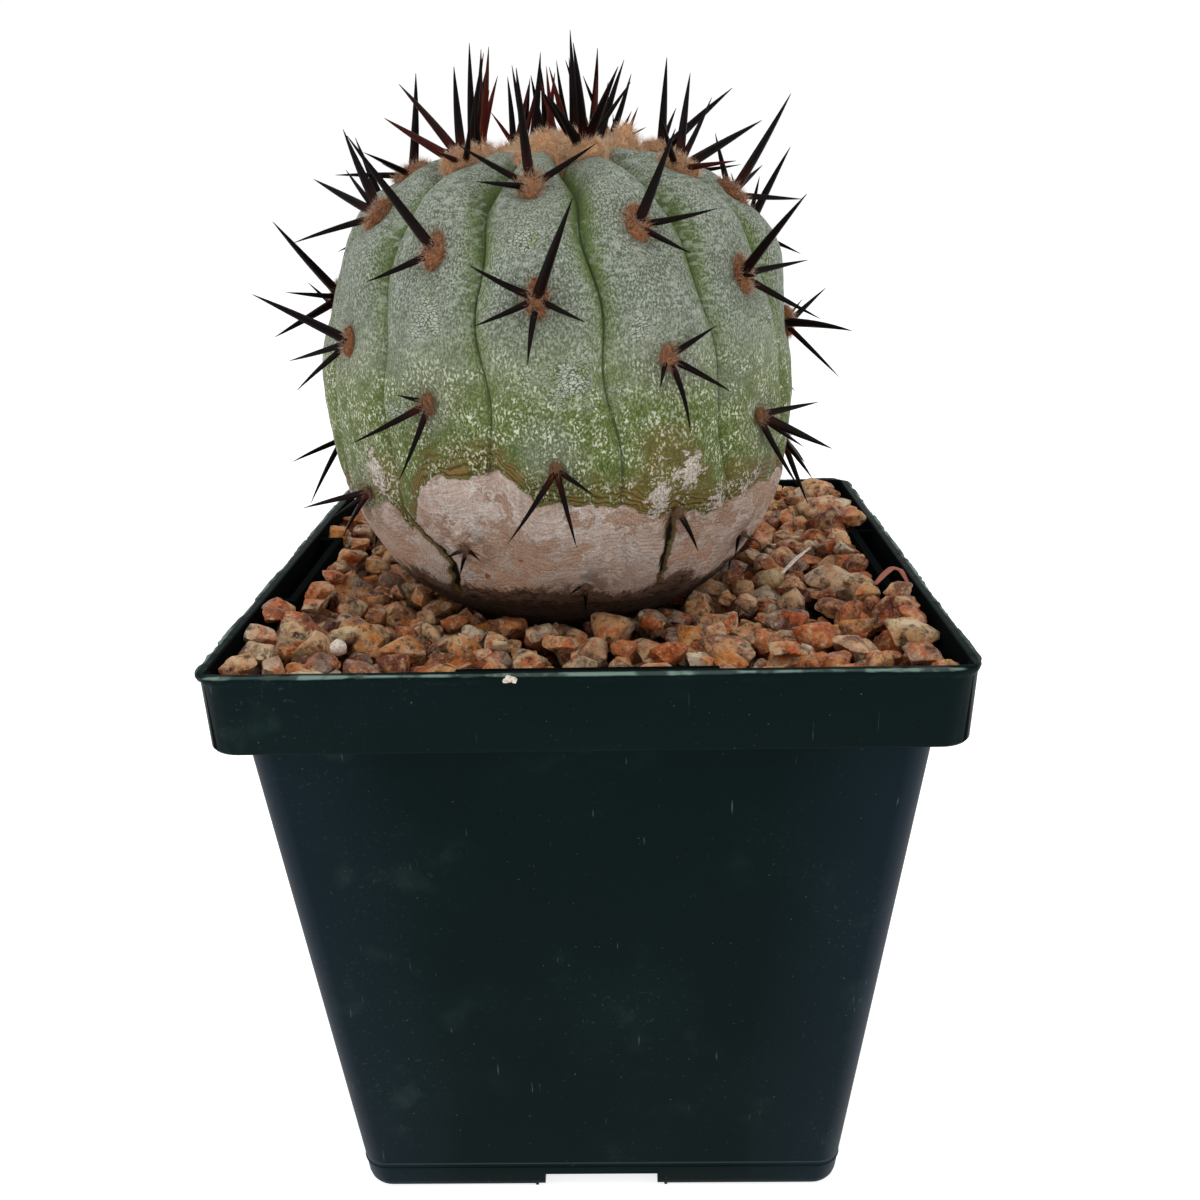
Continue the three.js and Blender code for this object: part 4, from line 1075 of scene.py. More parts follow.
def put_on_points(tree, points, pattern, aim, size):
    """The pattern on every point, turned to its aim, in its size, as one plain mesh."""
    turned = add(tree, "FunctionNodeAlignRotationToVector", {"Vector": aim}, axis="Z")
    planted = add(tree, "GeometryNodeInstanceOnPoints", {
        "Points": points, "Instance": pattern, "Rotation": turned, "Scale": size,
    })
    return add(tree, "GeometryNodeRealizeInstances", {0: planted})


def finish_growth(tree, end, mesh, material):
    soft = add(tree, "GeometryNodeSetShadeSmooth", {0: mesh})
    coated = add(tree, "GeometryNodeSetMaterial", {0: soft, 2: material})
    connect(tree, end, {0: coated})


tree, given, end = new_growth(
    "spine_growth", {
        "aim": "FLOAT_VECTOR", "thickness": "FLOAT", "length": "FLOAT", "bow": "FLOAT_VECTOR",
        "along": "FLOAT",
    }, Taper=("Float", 0.9), Material=("Material", None),
)
marked, at, share = pattern_cone(tree, Vertices=7, Side_Segments=8, Radius_Top=0.03)
swell = add(tree, "ShaderNodeMath", {0: share, 1: given["Taper"]}, operation="MULTIPLY")
sides = add(tree, "ShaderNodeVectorMath", {0: at, 1: (1, 1, 0)}, operation="MULTIPLY")
fuller = add(tree, "ShaderNodeVectorMath", {0: sides, 3: swell}, operation="SCALE")
needle = add(tree, "GeometryNodeSetPosition", {0: marked, "Offset": fuller})
flatter = add(tree, "ShaderNodeMath", {0: given["thickness"], 1: 0.85}, operation="MULTIPLY")
size = {0: given["thickness"], 1: flatter, 2: given["length"]}
size = add(tree, "ShaderNodeCombineXYZ", size)
real = put_on_points(tree, given["Geometry"], needle, given["aim"], size)
steeper = add(tree, "ShaderNodeMath", {0: given["along"], 1: 2.0}, operation="POWER")
sag = add(tree, "ShaderNodeVectorMath", {0: given["bow"], 3: steeper}, operation="SCALE")
bowed = add(tree, "GeometryNodeSetPosition", {0: real, "Offset": sag})
finish_growth(tree, end, bowed, given["Material"])
spine_tree = tree


def grow_spines(name, spines):
    traits = {trait: np.array(values) for trait, values in spines.items() if trait != "base"}
    source = make_mesh(name + "_points", spines["base"], [], smooth=False, **traits)
    return grow(name, source, spine_tree, Material=spine_horn)


stem_spines = grow_spines("stem_spines", spines)

# %% [markdown]
# ## Felt pads
#
# Each cushion of spines sits in a pad of felt. The youngest are tan and full, the oldest are
# small and worn. A ball is pressed to an oval, laid on each areole and made lumpy. Thousands of
# short hairs then grow from it, each with its own lean and curl.

# %% The tree for hairs
tree, given, end = new_growth(
    "hair_growth", {"along": "FLOAT"}, Density=("Float", 1.0), Length=("Float", 0.001),
    Spread=("Float", 0.6), Thickness=("Float", 0.00004), Curl=("Float", 0.0004),
    Seed=("Int", 1), Material=("Material", None),
)
spots = add(tree, "GeometryNodeDistributePointsOnFaces", {
    "Mesh": given["Geometry"], "Density": given["Density"], "Seed": given["Seed"],
})
lean = {0: (-1, -1, -1), 1: (1, 1, 1), "Seed": 11}
lean = add(tree, "FunctionNodeRandomValue", lean, data_type="FLOAT_VECTOR")
leaning = add(tree, "ShaderNodeVectorMath", {0: lean, 3: given["Spread"]}, operation="SCALE")
pair = {0: spots.outputs["Normal"], 1: leaning}
aim = add(tree, "ShaderNodeVectorMath", pair, operation="ADD")
vary = add(tree, "FunctionNodeRandomValue", {2: 0.45, 3: 1.0, "Seed": 12}, data_type="FLOAT")
pair = {0: vary.outputs[1], 1: given["Length"]}
length = add(tree, "ShaderNodeMath", pair, operation="MULTIPLY")
thick = given["Thickness"]
size = add(tree, "ShaderNodeCombineXYZ", {0: thick, 1: thick, 2: length})
hair = pattern_cone(tree, Vertices=3, Side_Segments=1, Radius_Top=0.0)[0]
real = put_on_points(tree, spots, hair, aim, size)
swirl = add(tree, "ShaderNodeTexNoise", {"Scale": 1 / (1.1 * MM), "Detail": 1})
pair = {0: swirl.outputs["Color"], 1: (0.5, 0.5, 0.5)}
about = add(tree, "ShaderNodeVectorMath", pair, operation="SUBTRACT")
pair = {0: given["along"], 1: given["Curl"]}
amount = add(tree, "ShaderNodeMath", pair, operation="MULTIPLY")
curl = add(tree, "ShaderNodeVectorMath", {0: about, 3: amount}, operation="SCALE")
curled = add(tree, "GeometryNodeSetPosition", {0: real, "Offset": curl})
both = add(tree, "GeometryNodeJoinGeometry", {0: curled})
connect(tree, both, {0: given["Geometry"]})
finish_growth(tree, end, both, given["Material"])
hair_tree = tree
print("hair tree:", len(tree.nodes), "nodes")

# %% Material of the felt and the wool
felt, tree, shader, place = start_material(
    "matted_plant_wool", Roughness=0.95, IOR=1.3, Sheen_Weight=0.25, Sheen_Roughness=0.5,
    Sheen_Tint="#F0CFA0",
)
kept = sources_of(tree, ("age", "along"), place, {"tuft": (1.1, 4), "strand": (0.22, 2)})
share = shares_of(tree, kept, {
    "dull": ("tuft", 0.45, 0.6, 0.8), "light": ("strand", 0.5, 0.65, 0.5),
    "old": ("age", 1.3, 2.1, 0.85), "young": ("age", 0.1, -0.7, 0.75),
    "tip": ("along", 0.2, 1.0, 0.75),
})
colour = paint(tree, "#96582F", share, [
    ("#5E2F18", 1, "dull"), ("#C98A58", 1, "light"), ("#F2C598", 1, "young"),
    ("#FFEAD0", 1, "tip"), ("#6A5240", 1, "old"),
])
bump = {"Strength": 0.6, "Distance": 0.12 * MM, "Height": kept["strand"]}
bump = add(tree, "ShaderNodeBump", bump)
connect(tree, shader, {"Base Color": colour, "Normal": bump})

# %% Grow the pads
# By age, in turns of the spiral: (age, factor). The youngest pads are the fullest.
PAD_WIDTHS = [(-0.7, 2), (-0.3, 1.6), (0, 1.15), (1, 1), (1.4, 0.75), (2, 0.5), (3, 0.4)]
PAD_HEIGHTS = [(-0.7, 1.5), (-0.3, 1.3), (0, 1.1), (1, 1), (1.4, 0.65), (2, 0.4), (3, 0.28)]
PAD_RISES = [(-0.7, 2.2), (-0.3, 1.6), (0, 1), (1.4, 0.7), (2, 0.5), (3, 0.4)]
OLD_AGE = 0.75

traits = {"outward": "FLOAT_VECTOR", "side": "FLOAT_VECTOR", "size": "FLOAT_VECTOR"}
pad_tree, given, end = new_growth("pad_growth", traits, Lumps=("Float", 0.0008))
ball = add(pad_tree, "GeometryNodeMeshIcoSphere", {"Radius": 1.0, "Subdivisions": 3})
turned = add(
    pad_tree, "FunctionNodeAxesToRotation", {0: given["outward"], 1: given["side"]},
    primary_axis="Z", secondary_axis="X",
)
placed = add(pad_tree, "GeometryNodeInstanceOnPoints", {
    "Points": given["Geometry"], "Instance": ball, "Rotation": turned, "Scale": given["size"],
})
real = add(pad_tree, "GeometryNodeRealizeInstances", {0: placed})
lumps = add(pad_tree, "ShaderNodeTexNoise", {"Scale": 1 / (1.3 * MM), "Detail": 3})
about = add(pad_tree, "ShaderNodeMath", {0: lumps, 1: 0.5}, operation="SUBTRACT")
height = add(pad_tree, "ShaderNodeMath", {0: about, 1: given["Lumps"]}, operation="MULTIPLY")
facing = add(pad_tree, "GeometryNodeInputNormal")
push = add(pad_tree, "ShaderNodeVectorMath", {0: facing, 3: height}, operation="SCALE")
lumpy = add(pad_tree, "GeometryNodeSetPosition", {0: real, "Offset": push})
connect(pad_tree, end, {0: lumpy})

pad_size = np.column_stack([
    0.46 * PAD_WIDTH * along(PAD_WIDTHS, areole_phase),
    0.48 * PAD_HEIGHT * along(PAD_HEIGHTS, areole_phase),
    PAD_RISE * along(PAD_RISES, areole_phase),
])
is_old = areole_phase >= OLD_AGE
felt_pads = []
for name, chosen in (("felt_pads_young", ~is_old), ("felt_pads_old", is_old)):
    pads = make_mesh(
        name + "_points", (areole_point - 0.15 * areole_normal)[chosen], [], smooth=False,
        outward=areole_normal[chosen], side=areole_right[chosen], size=pad_size[chosen] * MM,
        age=areole_phase[chosen],
    )
    pads = grow(name + "_form", pads, pad_tree, Lumps=1.6 * MM)
    felt_pads.append(grow(
        name, pads, hair_tree, Density=3.4e7, Length=1.6 * MM, Spread=1.1, Thickness=0.032 * MM,
        Curl=1.0 * MM, Seed=3, Material=felt,
    ))

# %% [markdown]
# ## The woolly crown
#
# At the growing point the areoles stand so close that their felt meets in one cushion of wool,
# still in tufts, with the youngest spines upright in it.

# %% Shape the crown
WOOL_RADIUS, WOOL_RISE, WOOL_COLUMNS, WOOL_ROWS = 13.4, 3.2, 108, 36
TUFT_HEIGHT, TUFT_RADIUS = 3.4, 2.1
TUFT_GAPS = [(-9.3, 2.6, 2.6), (-3.6, 3.2, 1.2)]  # (mm right of the apex, width, depth)
CROWN_SIDE = slice(0, 360)  # the part of the outline that runs outwards from the apex


def crown_z(radius):
    """Height of the smooth crown at a distance from the stem's axis."""
    return np.interp(radius, OUTLINE_RADIUS[CROWN_SIDE], OUTLINE_Z[CROWN_SIDE])


crown_numbers = np.arange(FIRST_CROWN_AREOLE, LAST_CROWN_AREOLE + 1)
crown_phase = crown_numbers / RIBS
crown_arc = arc_of(crown_phase)
crown_turn = rib_azimuth(RIB_STEP * crown_numbers % RIBS, crown_phase)
apex = stem_place(0, 0)[0]
wool_rim = crown_z(WOOL_RADIUS)
wool_top = wool_rim + WOOL_RISE

turns, radii = np.meshgrid(
    np.linspace(0, 2 * math.pi, WOOL_COLUMNS + 1)[:-1], np.linspace(WOOL_RADIUS, 0.3, WOOL_ROWS)
)
flat = np.stack([apex[0] + radii * np.sin(turns), apex[1] - radii * np.cos(turns)], -1)
ground = crown_z(radii) - CROWN_DIP * np.exp(-((radii / CROWN_DIP_RADIUS) ** 2))
tuft_height = np.full(radii.shape, 0.25)
for reach, turn in zip(crown_arc, np.radians(crown_turn)):
    centre = apex[:2] + reach * np.array([math.sin(turn), -math.cos(turn)])
    away = np.linalg.norm(flat - centre, axis=-1)
    tuft = TUFT_HEIGHT * np.exp(-((away / TUFT_RADIUS) ** 2.4))
    tuft_height = np.maximum(tuft_height, tuft)
places = np.concatenate([flat, ground[..., None]], -1)
tuft_height += 0.5 * rough(places, 2.2, 20) + 0.3 * rough(places, 0.9, 21)
tuft_height -= 1.6 * eased(0.86, 1, radii / WOOL_RADIUS)
for way, width, depth in TUFT_GAPS:
    tuft_height -= depth * np.exp(-(((flat[..., 0] - apex[0] - way) / width) ** 2))
wool_rings = list(np.concatenate([flat, (ground + tuft_height)[..., None]], -1))
underside = wool_rings[0] * [1, 1, 0] + [0, 0, wool_rim - 4]
crown_points, crown_faces = loft([underside] + wool_rings)
youngest = np.full(len(crown_points), -1.0)
crown_wool = make_mesh("crown_form", crown_points, crown_faces, age=youngest)
crown_wool = grow(
    "crown_wool_tuft", crown_wool, hair_tree, Density=2.8e7, Length=2.0 * MM, Spread=1.1,
    Thickness=0.03 * MM, Curl=1.2 * MM, Seed=4, Material=felt,
)

# %% [markdown]
# The youngest spines stand almost upright. Those on the front half are described one by one, as
# seen from the front: place, lean to the right, length and how red they still are. The spiral
# gives those behind them.

# %% The youngest spines
CROWN_SPINES = [  # (mm right of the middle, mm behind it, lean, length, redness)
    (-13.9, 2, 11, 13.9, 0.3), (-11.5, -3, 8, 13.4, 0.8), (-12.7, 5, 16, 11, 0.9),
    (-11.3, -9, 1, 7, 0.1), (-7.1, 4, -35, 4.5, 1), (-7, 3, -3, 8.5, 0.3), (-6.7, 6, 14, 8, 0.9),
    (-3.6, 0, 7, 11.3, 0.2), (-3, 5, 1, 8, 0.3), (-1.1, -4, 9, 8, 0.8), (1.8, 3, -14, 9.5, 0.9),
    (3.3, -8, -32, 8.7, 0.2), (3.9, 0, -4, 14.2, 0.3), (5.1, 4, -16, 11, 0.2),
    (5.9, 6, 4, 8.5, 0.9), (9.4, 7, -24, 11, 0.3), (6.7, -8, 20, 10.9, 0.2),
    (8.3, 2, 20, 9.5, 0.5), (9.1, 5, 30, 4.5, 0.9), (10.5, 4, 24, 5, 1), (0.2, -2, -14, 5, 0.9),
    (-5, -1, 16, 5.5, 0.8), (7.5, 0, 8, 5.5, 0.8),
]

crown_spines = {trait: [] for trait in SPINE_TRAITS}
for order, (x, y, lean, length, red) in enumerate(CROWN_SPINES):
    tilt, seed = math.radians(lean), 500 + 3 * order
    backwards = float(between(-0.15, 0.1, seed)) + 0.02 * y
    aim = [math.sin(tilt), backwards, math.cos(tilt)]
    base = np.array([apex[0] + x, apex[1] + y, wool_top - 1.2 - 0.012 * (x * x + y * y)])
    radius = SPINE_RADIUS * min(1.25, 0.55 + length / 16)
    plant_spine(crown_spines, base, aim, length + 1.5, radius, seed + 900, red)
for number, reach, turn in zip(crown_numbers.tolist(), crown_arc, np.radians(crown_turn)):
    if math.cos(turn) > -0.2:
        continue
    seed = 11 * number + 500
    outward = np.array([math.sin(turn), -math.cos(turn), 0])
    aim = outward * math.sin(0.02 * reach) + np.array([float(between(-0.3, 0.3, seed)), 0, 1])
    base = np.array([apex[0], apex[1], wool_top - 1.2]) + outward * min(reach, 10)
    length = float(between(6, 12, seed + 5))
    plant_spine(crown_spines, base, aim, length, SPINE_RADIUS, seed + 900, float(chance(seed + 8)))
young_spines = grow_spines("young_spines", crown_spines)

# %% [markdown]
# ## Gravel
#
# The top dressing is crushed stone, poured and not placed. So it is poured here too: stone after
# stone is tried at a dozen chance places and stays where it comes to lie lowest, on top of those
# before it. A grid of heights remembers how high the bed is, with the walls of the pot and the
# belly of the stem as its limits. The first stones roll to the walls, and at the end small ones
# trickle into the gaps.

# %% Pour the stones
BED_FOOT_Z, GRID = 86.0, 0.5
WALL_COUNT, STONE_COUNT, TRIES, SMALLEST, LARGEST = 420, 1500, 16, 5.4, 13.0
FILLER_COUNT, FILLER_TRIES, FILLER_SMALLEST, FILLER_LARGEST = 520, 40, 3.6, 6.0
FILLER_LOW = 0.7  # small stones stay this far under the end of the bed
GAP_DEPTH = 0.6  # and trickle only into gaps deeper than this
PRESSED, FILLER_PRESSED = 1.3, 3.2  # how far a stone may settle between those below it
PACKED = 0.82  # share of a stone's bulge that counts, because the next one finds a hollow
BLOCKED = 130.0  # height on the grid where no stone can lie
VARIANTS = 12

steps_out = np.arange(-COLLAR_INNER_HALF, COLLAR_INNER_HALF + GRID, GRID)
grid_x, grid_y = np.meshgrid(steps_out, steps_out)
from_stem = np.hypot(grid_x - STEM_X, grid_y - STEM_Y)
under = slice(720, 399, -1)  # the part of the outline that runs outwards from the foot
ceiling = np.interp(from_stem, OUTLINE_RADIUS[under], OUTLINE_Z[under]) - 0.6
wall_reach = np.maximum(np.abs(grid_x), np.abs(grid_y))
along_wall = np.minimum(np.abs(grid_x), np.abs(grid_y))
in_lug = (along_wall < LUG_HALF + 0.3) & (wall_reach > INNER_TOP_HALF - 0.3)
in_corner = (along_wall > COLLAR_INNER_HALF - 2) & (wall_reach > COLLAR_INNER_HALF - 2)
bed = np.full(grid_x.shape, BED_FOOT_Z)
bed[wall_reach > INNER_TOP_HALF - 0.2] = LEDGE_Z + 0.3
bed[in_lug | in_corner | (wall_reach > COLLAR_INNER_HALF - 0.4)] = BLOCKED

# Where the bed ends: it is a little hollow in the right-hand front corner and heaped in others.
hollow = 1.6 * np.exp(-(((grid_x - 47) / 9) ** 2 + ((grid_y + 47) / 9) ** 2))
heap = 97.3 + 0.5 * np.sin(grid_x / 14 + 1) * np.cos(grid_y / 17) - hollow
heap += 0.7 * eased(40, 50, wall_reach) + 1.2 * eased(22, 50, grid_x)
heap += 1.6 * eased(36, 47, np.abs(grid_x)) * eased(34, 22, np.abs(grid_y))
heap += 1.4 * eased(15, 42, grid_x) * eased(5, 35, grid_y)
heap += 1.8 * eased(-30, -48, grid_x) * eased(0, -35, grid_y)

stones = {"place": [], "half": [], "spin": [], "tone": [], "variant": [], "filler": []}


def lie(x, y, a, b, c, spin, proud, filler):
    """How welcome a stone is at a place (less is better), how high its middle comes to lie, and
    the patch of grid it covers. Its top may stand proud of the end of the bed."""
    reach = int(max(a, b) / GRID) + 1
    column = int(round((x - steps_out[0]) / GRID))
    row = int(round((y - steps_out[0]) / GRID))
    if min(row, column) < reach or max(row, column) >= len(steps_out) - reach:
        return None
    patch = slice(row - reach, row + reach + 1), slice(column - reach, column + reach + 1)
    dx, dy = grid_x[patch] - x, grid_y[patch] - y
    u = (dx * math.cos(spin) + dy * math.sin(spin)) / a
    v = (dy * math.cos(spin) - dx * math.sin(spin)) / b
    inside = 1 - u**2 - v**2
    covered = inside > 0
    if np.any((inside > 0.25) & (bed[patch] == BLOCKED)):
        return None
    bulge = c * np.sqrt(np.maximum(inside, 0))
    z = np.max(np.where(covered & (bed[patch] < BLOCKED), bed[patch] + PACKED * bulge, 0))
    level = heap[row, column] + proud - 0.9 * c
    if z > level + (FILLER_PRESSED if filler else PRESSED):
        return None
    z = min(z, level)
    if np.any(covered & (ceiling[patch] < z + 0.6 * bulge)):
        return None
    rank = bed[row, column] - heap[row, column] if filler else z
    return rank, z, patch, np.where(covered, z + PACKED * bulge, 0)


def spot_by_wall(seed, a):
    """A chance place where a stone of that half-length touches a wall or a lug."""
    way = float(between(-1, 1, seed + 0.25)) * (COLLAR_INNER_HALF - 2)
    wall = INNER_TOP_HALF if abs(way) < LUG_HALF + 0.6 * a else COLLAR_INNER_HALF
    reach = wall - 0.5 - 0.9 * a
    return ((way, -reach), (reach, way), (way, reach), (-reach, way))[int(4 * chance(seed + 0.5))]


for stone in range(STONE_COUNT + FILLER_COUNT):
    filler = stone >= STONE_COUNT
    least, most = (FILLER_SMALLEST, FILLER_LARGEST) if filler else (SMALLEST, LARGEST)
    a = float(least + (most - least) * chance(stone + 0.1) ** 1.6) / 2
    b, c = a * float(between(0.55, 0.95, stone + 0.3)), a * float(between(0.5, 0.8, stone + 0.4))
    best, proud = None, -FILLER_LOW if filler else float(between(0.5, 1.7, stone + 0.55))
    for attempt in range(FILLER_TRIES if filler else TRIES):
        seed = 31 * stone + attempt + 7000
        x, y = (float(between(-1, 1, seed + shift)) for shift in (0.25, 0.5))
        x, y = x * COLLAR_INNER_HALF, y * COLLAR_INNER_HALF
        if stone < WALL_COUNT or stone % 4 == 0:
            x, y = spot_by_wall(seed, a)
        spin = float(between(0, math.pi, seed + 0.75))
        found = lie(x, y, a, b, c, spin, proud, filler)
        if found and (best is None or found[0] < best[0]):
            best = (*found, x, y, spin)
    if best is None or (filler and best[0] > -GAP_DEPTH):
        continue
    _, z, patch, top, x, y, spin = best
    bed[patch] = np.maximum(bed[patch], top)
    stones["place"].append((x, y, z))
    stones["half"].append((a * MM, b * MM, c * MM))
    stones["spin"].append((between(-0.3, 0.3, stone + 0.6), between(-0.3, 0.3, stone + 0.7), spin))
    stones["tone"].append(chance(stone + 0.8))
    stones["variant"].append(int(between(0, VARIANTS - 0.001, stone + 0.9)))
    stones["filler"].append(filler)
print(len(stones["place"]), "stones lie in the pot")

# %% [markdown]
# A dozen stones are carved as patterns: a ball cut flat by chance planes, as a crusher splits
# rock, then roughened a little. Geometry Nodes take one of them for each place. The small stones
# in the gaps, and those that lie out of sight, get a plainer pattern.

# %% Carve the patterns
FINE_STONE, COARSE_STONE = 3, 2  # how often the ball's faces are split
CUTS = 13


def carve(name, splits, seed):
    ball = bmesh.new()
    bmesh.ops.create_icosphere(ball, subdivisions=splits, radius=1)
    points = np.array([vertex.co for vertex in ball.verts])
    for cut in range(CUTS):
        facing = np.array([between(-1, 1, seed + cut + shift) for shift in (0.2, 0.4, 0.6)])
        facing /= np.linalg.norm(facing)
        depth = points @ facing - between(0.42, 0.78, seed + cut + 0.8)
        points -= np.outer(np.maximum(depth, 0), facing)
    points *= (1 + 0.2 * rough(points, 0.9, seed) + 0.13 * rough(points, 0.4, seed + 1))[:, None]
    points /= np.abs(points).max(0)
    for vertex, point in zip(ball.verts, points):
        vertex.co = point
    mesh = bpy.data.meshes.new(name)
    ball.to_mesh(mesh)
    ball.free()
    mesh.shade_smooth()
    mesh.set_sharp_from_angle(angle=math.radians(34))
    return bpy.data.objects.new(name, mesh)


patterns = {}
for splits in (FINE_STONE, COARSE_STONE):
    shelf = bpy.data.collections.new(f"stone_patterns_{splits}")
    for variant in range(VARIANTS):
        shelf.objects.link(carve(f"stone_{splits}_{variant:02d}", splits, 40.0 * variant + 3))
    patterns[splits] = shelf

# %% Material of the stones
STONE_SHADES = (
    "#CE7A3E", "#F0C092", "#B06030", "#F2D6A8", "#A48C7A", "#DC8E4C", "#ECAC70", "#7E3C22",
    "#E4A868", "#9A6850", "#F8E6C8", "#CC6A2C", "#E8BC90", "#E2903C", "#BCA28C", "#62301E",
)


def palette_of(tree, tone):
    """One of the shades, picked by a number from 0 to 1."""
    palette = add(tree, "ShaderNodeValToRGB", {0: tone})
    palette.color_ramp.interpolation = "CONSTANT"
    entries = palette.color_ramp.elements
    for number, code in enumerate(STONE_SHADES):
        at = number / len(STONE_SHADES)
        entry = entries.new(at) if number > 1 else entries[number]
        entry.position, entry.color = at, colour_of(code)
    return palette


crushed_stone, tree, shader, place = start_material("crushed_dry_stone", Roughness=0.42, IOR=1.5)
tone = add(tree, "ShaderNodeAttribute", attribute_name="tone").outputs["Fac"]
other_tone = add(tree, "ShaderNodeMath", {0: tone, 1: 7.3}, operation="MULTIPLY")
other_tone = add(tree, "ShaderNodeMath", {0: other_tone}, operation="FRACT")
# Each stone shifts the noise by its own tone, so that no two carry the same pattern.
shifted = add(tree, "ShaderNodeCombineXYZ", {0: tone, 1: tone, 2: tone})
own = add(tree, "ShaderNodeVectorMath", {0: place, 1: shifted}, operation="ADD")
kept = sources_of(tree, (), own, {"rocky": (2.0, 9)}, Roughness=0.66)
kept |= sources_of(tree, (), own, {
    # name: (size in mm, detail)
    "other": (4.5, 4), "rust": (4.2, 5), "brown": (3.6, 5), "pale": (3.2, 5), "grains": (0.5, 4),
    "pits": (1.1, 7),
}, Roughness=0.62)
share = shares_of(tree, kept, {
    # name: (source, start, end, most)
    "other": ("other", 0.45, 0.57, 0.85), "brown": ("brown", 0.54, 0.66, 0.75),
    "rust": ("rust", 0.53, 0.62, 0.8), "pale": ("pale", 0.54, 0.66, 0.75),
    "painted_ridge_highlight": ("rocky", 0.55, 0.68, 0.6), "painted_hollow_shade": ("rocky", 0.48, 0.36, 0.9),
    "grains": ("grains", 0.58, 0.68, 0.4), "pits": ("pits", 0.40, 0.32, 0.9),
})
# Painted light: the high parts of each stone's relief are lightened as painted highlights, and its
# hollows darkened as painted shade.
colour = paint(tree, palette_of(tree, tone), share, [
    (palette_of(tree, other_tone), 1, "other"), ("#80401F", 1, "brown"), ("#DA6614", 1, "rust"),
    ("#EED2A6", 1, "pale"), ("#F3D9B4", 1, "painted_ridge_highlight"), ("#40190A", 1, "painted_hollow_shade"),
    ("#EBDCC6", 1, "grains"), ("#24120C", 1, "pits"),
])
bump = {"Strength": 1.0, "Distance": 1.8 * MM, "Height": kept["rocky"]}
bump = add(tree, "ShaderNodeBump", bump)
connect(tree, shader, {"Base Color": colour, "Normal": bump})

# %% Put a stone on every place
IN_VIEW_Z = 93  # stones whose middle is above this show between the others

traits = {"spin": "FLOAT_VECTOR", "variant": "FLOAT", "half": "FLOAT_VECTOR"}
tree, given, end = new_growth(
    "stone_growth", traits, Patterns=("Collection", None), Material=("Material", None)
)
shapes = add(tree, "GeometryNodeCollectionInfo", {0: given["Patterns"], 1: True, 2: True})
turned = add(tree, "FunctionNodeEulerToRotation", {0: given["spin"]})
index = add(tree, "FunctionNodeFloatToInt", {0: given["variant"]})
placed = add(tree, "GeometryNodeInstanceOnPoints", {
    "Points": given["Geometry"], "Instance": shapes, "Pick Instance": True,
    "Instance Index": index, "Rotation": turned, "Scale": given["half"],
})
real = add(tree, "GeometryNodeRealizeInstances", {0: placed})
coated = add(tree, "GeometryNodeSetMaterial", {0: real, 2: given["Material"]})
connect(tree, end, {0: coated})

stone_place = np.array(stones["place"])
is_fine = (stone_place[:, 2] > IN_VIEW_Z) & ~np.array(stones["filler"])
stone_beds = []
for name, chosen, splits in (
    ("gravel_top", is_fine, FINE_STONE), ("gravel_fill", ~is_fine, COARSE_STONE),
):
    traits = ("half", "spin", "tone", "variant")
    traits = {trait: np.array(stones[trait])[chosen] for trait in traits}
    source = make_mesh(name + "_points", stone_place[chosen], [], smooth=False, **traits)
    stone_beds.append(grow(name, source, tree, Patterns=patterns[splits], Material=crushed_stone))

# %% [markdown]
# A used pot gathers litter: a crumb on the lip, and two dry bits of grass, one straight and one
# curled up by drying. A dry blade is a thin tube along a line of places, flattened and tapered.

# %% Crumb and dry blades
def dry_blade(places, width):
    """Points and faces of a flat, tapered tube along a few places."""
    places = np.asarray(places, float)
    ends = np.arange(len(places))
    steps = np.linspace(0, len(places) - 1, 16)
    middle = np.stack([np.interp(steps, ends, places[:, axis]) for axis in range(3)], -1)
    ahead_of = np.gradient(middle, axis=0)
    ahead_of /= np.linalg.norm(ahead_of, axis=1)[:, None]
    sides = np.cross(ahead_of, [0, 0, 1.0])
    ups = np.cross(sides, ahead_of)
    turns = np.linspace(0, 2 * math.pi, 9)[:-1]
    rings = []
    for i, share in enumerate(np.linspace(0, 1, 16)):
        wide = width / 2 * (0.25 + 0.75 * math.sin(math.pi * min(0.98, 0.15 + 0.8 * share)))
        rings.append(middle[i] + wide * (
            np.outer(np.cos(turns), sides[i]) + 0.3 * np.outer(np.sin(turns), ups[i])
        ))
    return loft(rings[::-1])


dry_litter, tree, shader, place = start_material(
    "dry_grass_and_mineral_crumbs", Roughness=0.8, IOR=1.4
)
kept = sources_of(tree, ("tone",), place, {"fibre": (0.4, 4)})
share = shares_of(tree, kept, {"fibre": ("fibre", 0.45, 0.65, 0.6)})
pair = {0: kept["tone"], 1: 0.5}
share["curled"] = add(tree, "ShaderNodeMath", pair, operation="GREATER_THAN")
colour = paint(tree, "#E6DACB", share, [("#A5604F", 1, "curled"), ("#8A6A58", 1, "fibre")])
connect(tree, shader, {"Base Color": colour})

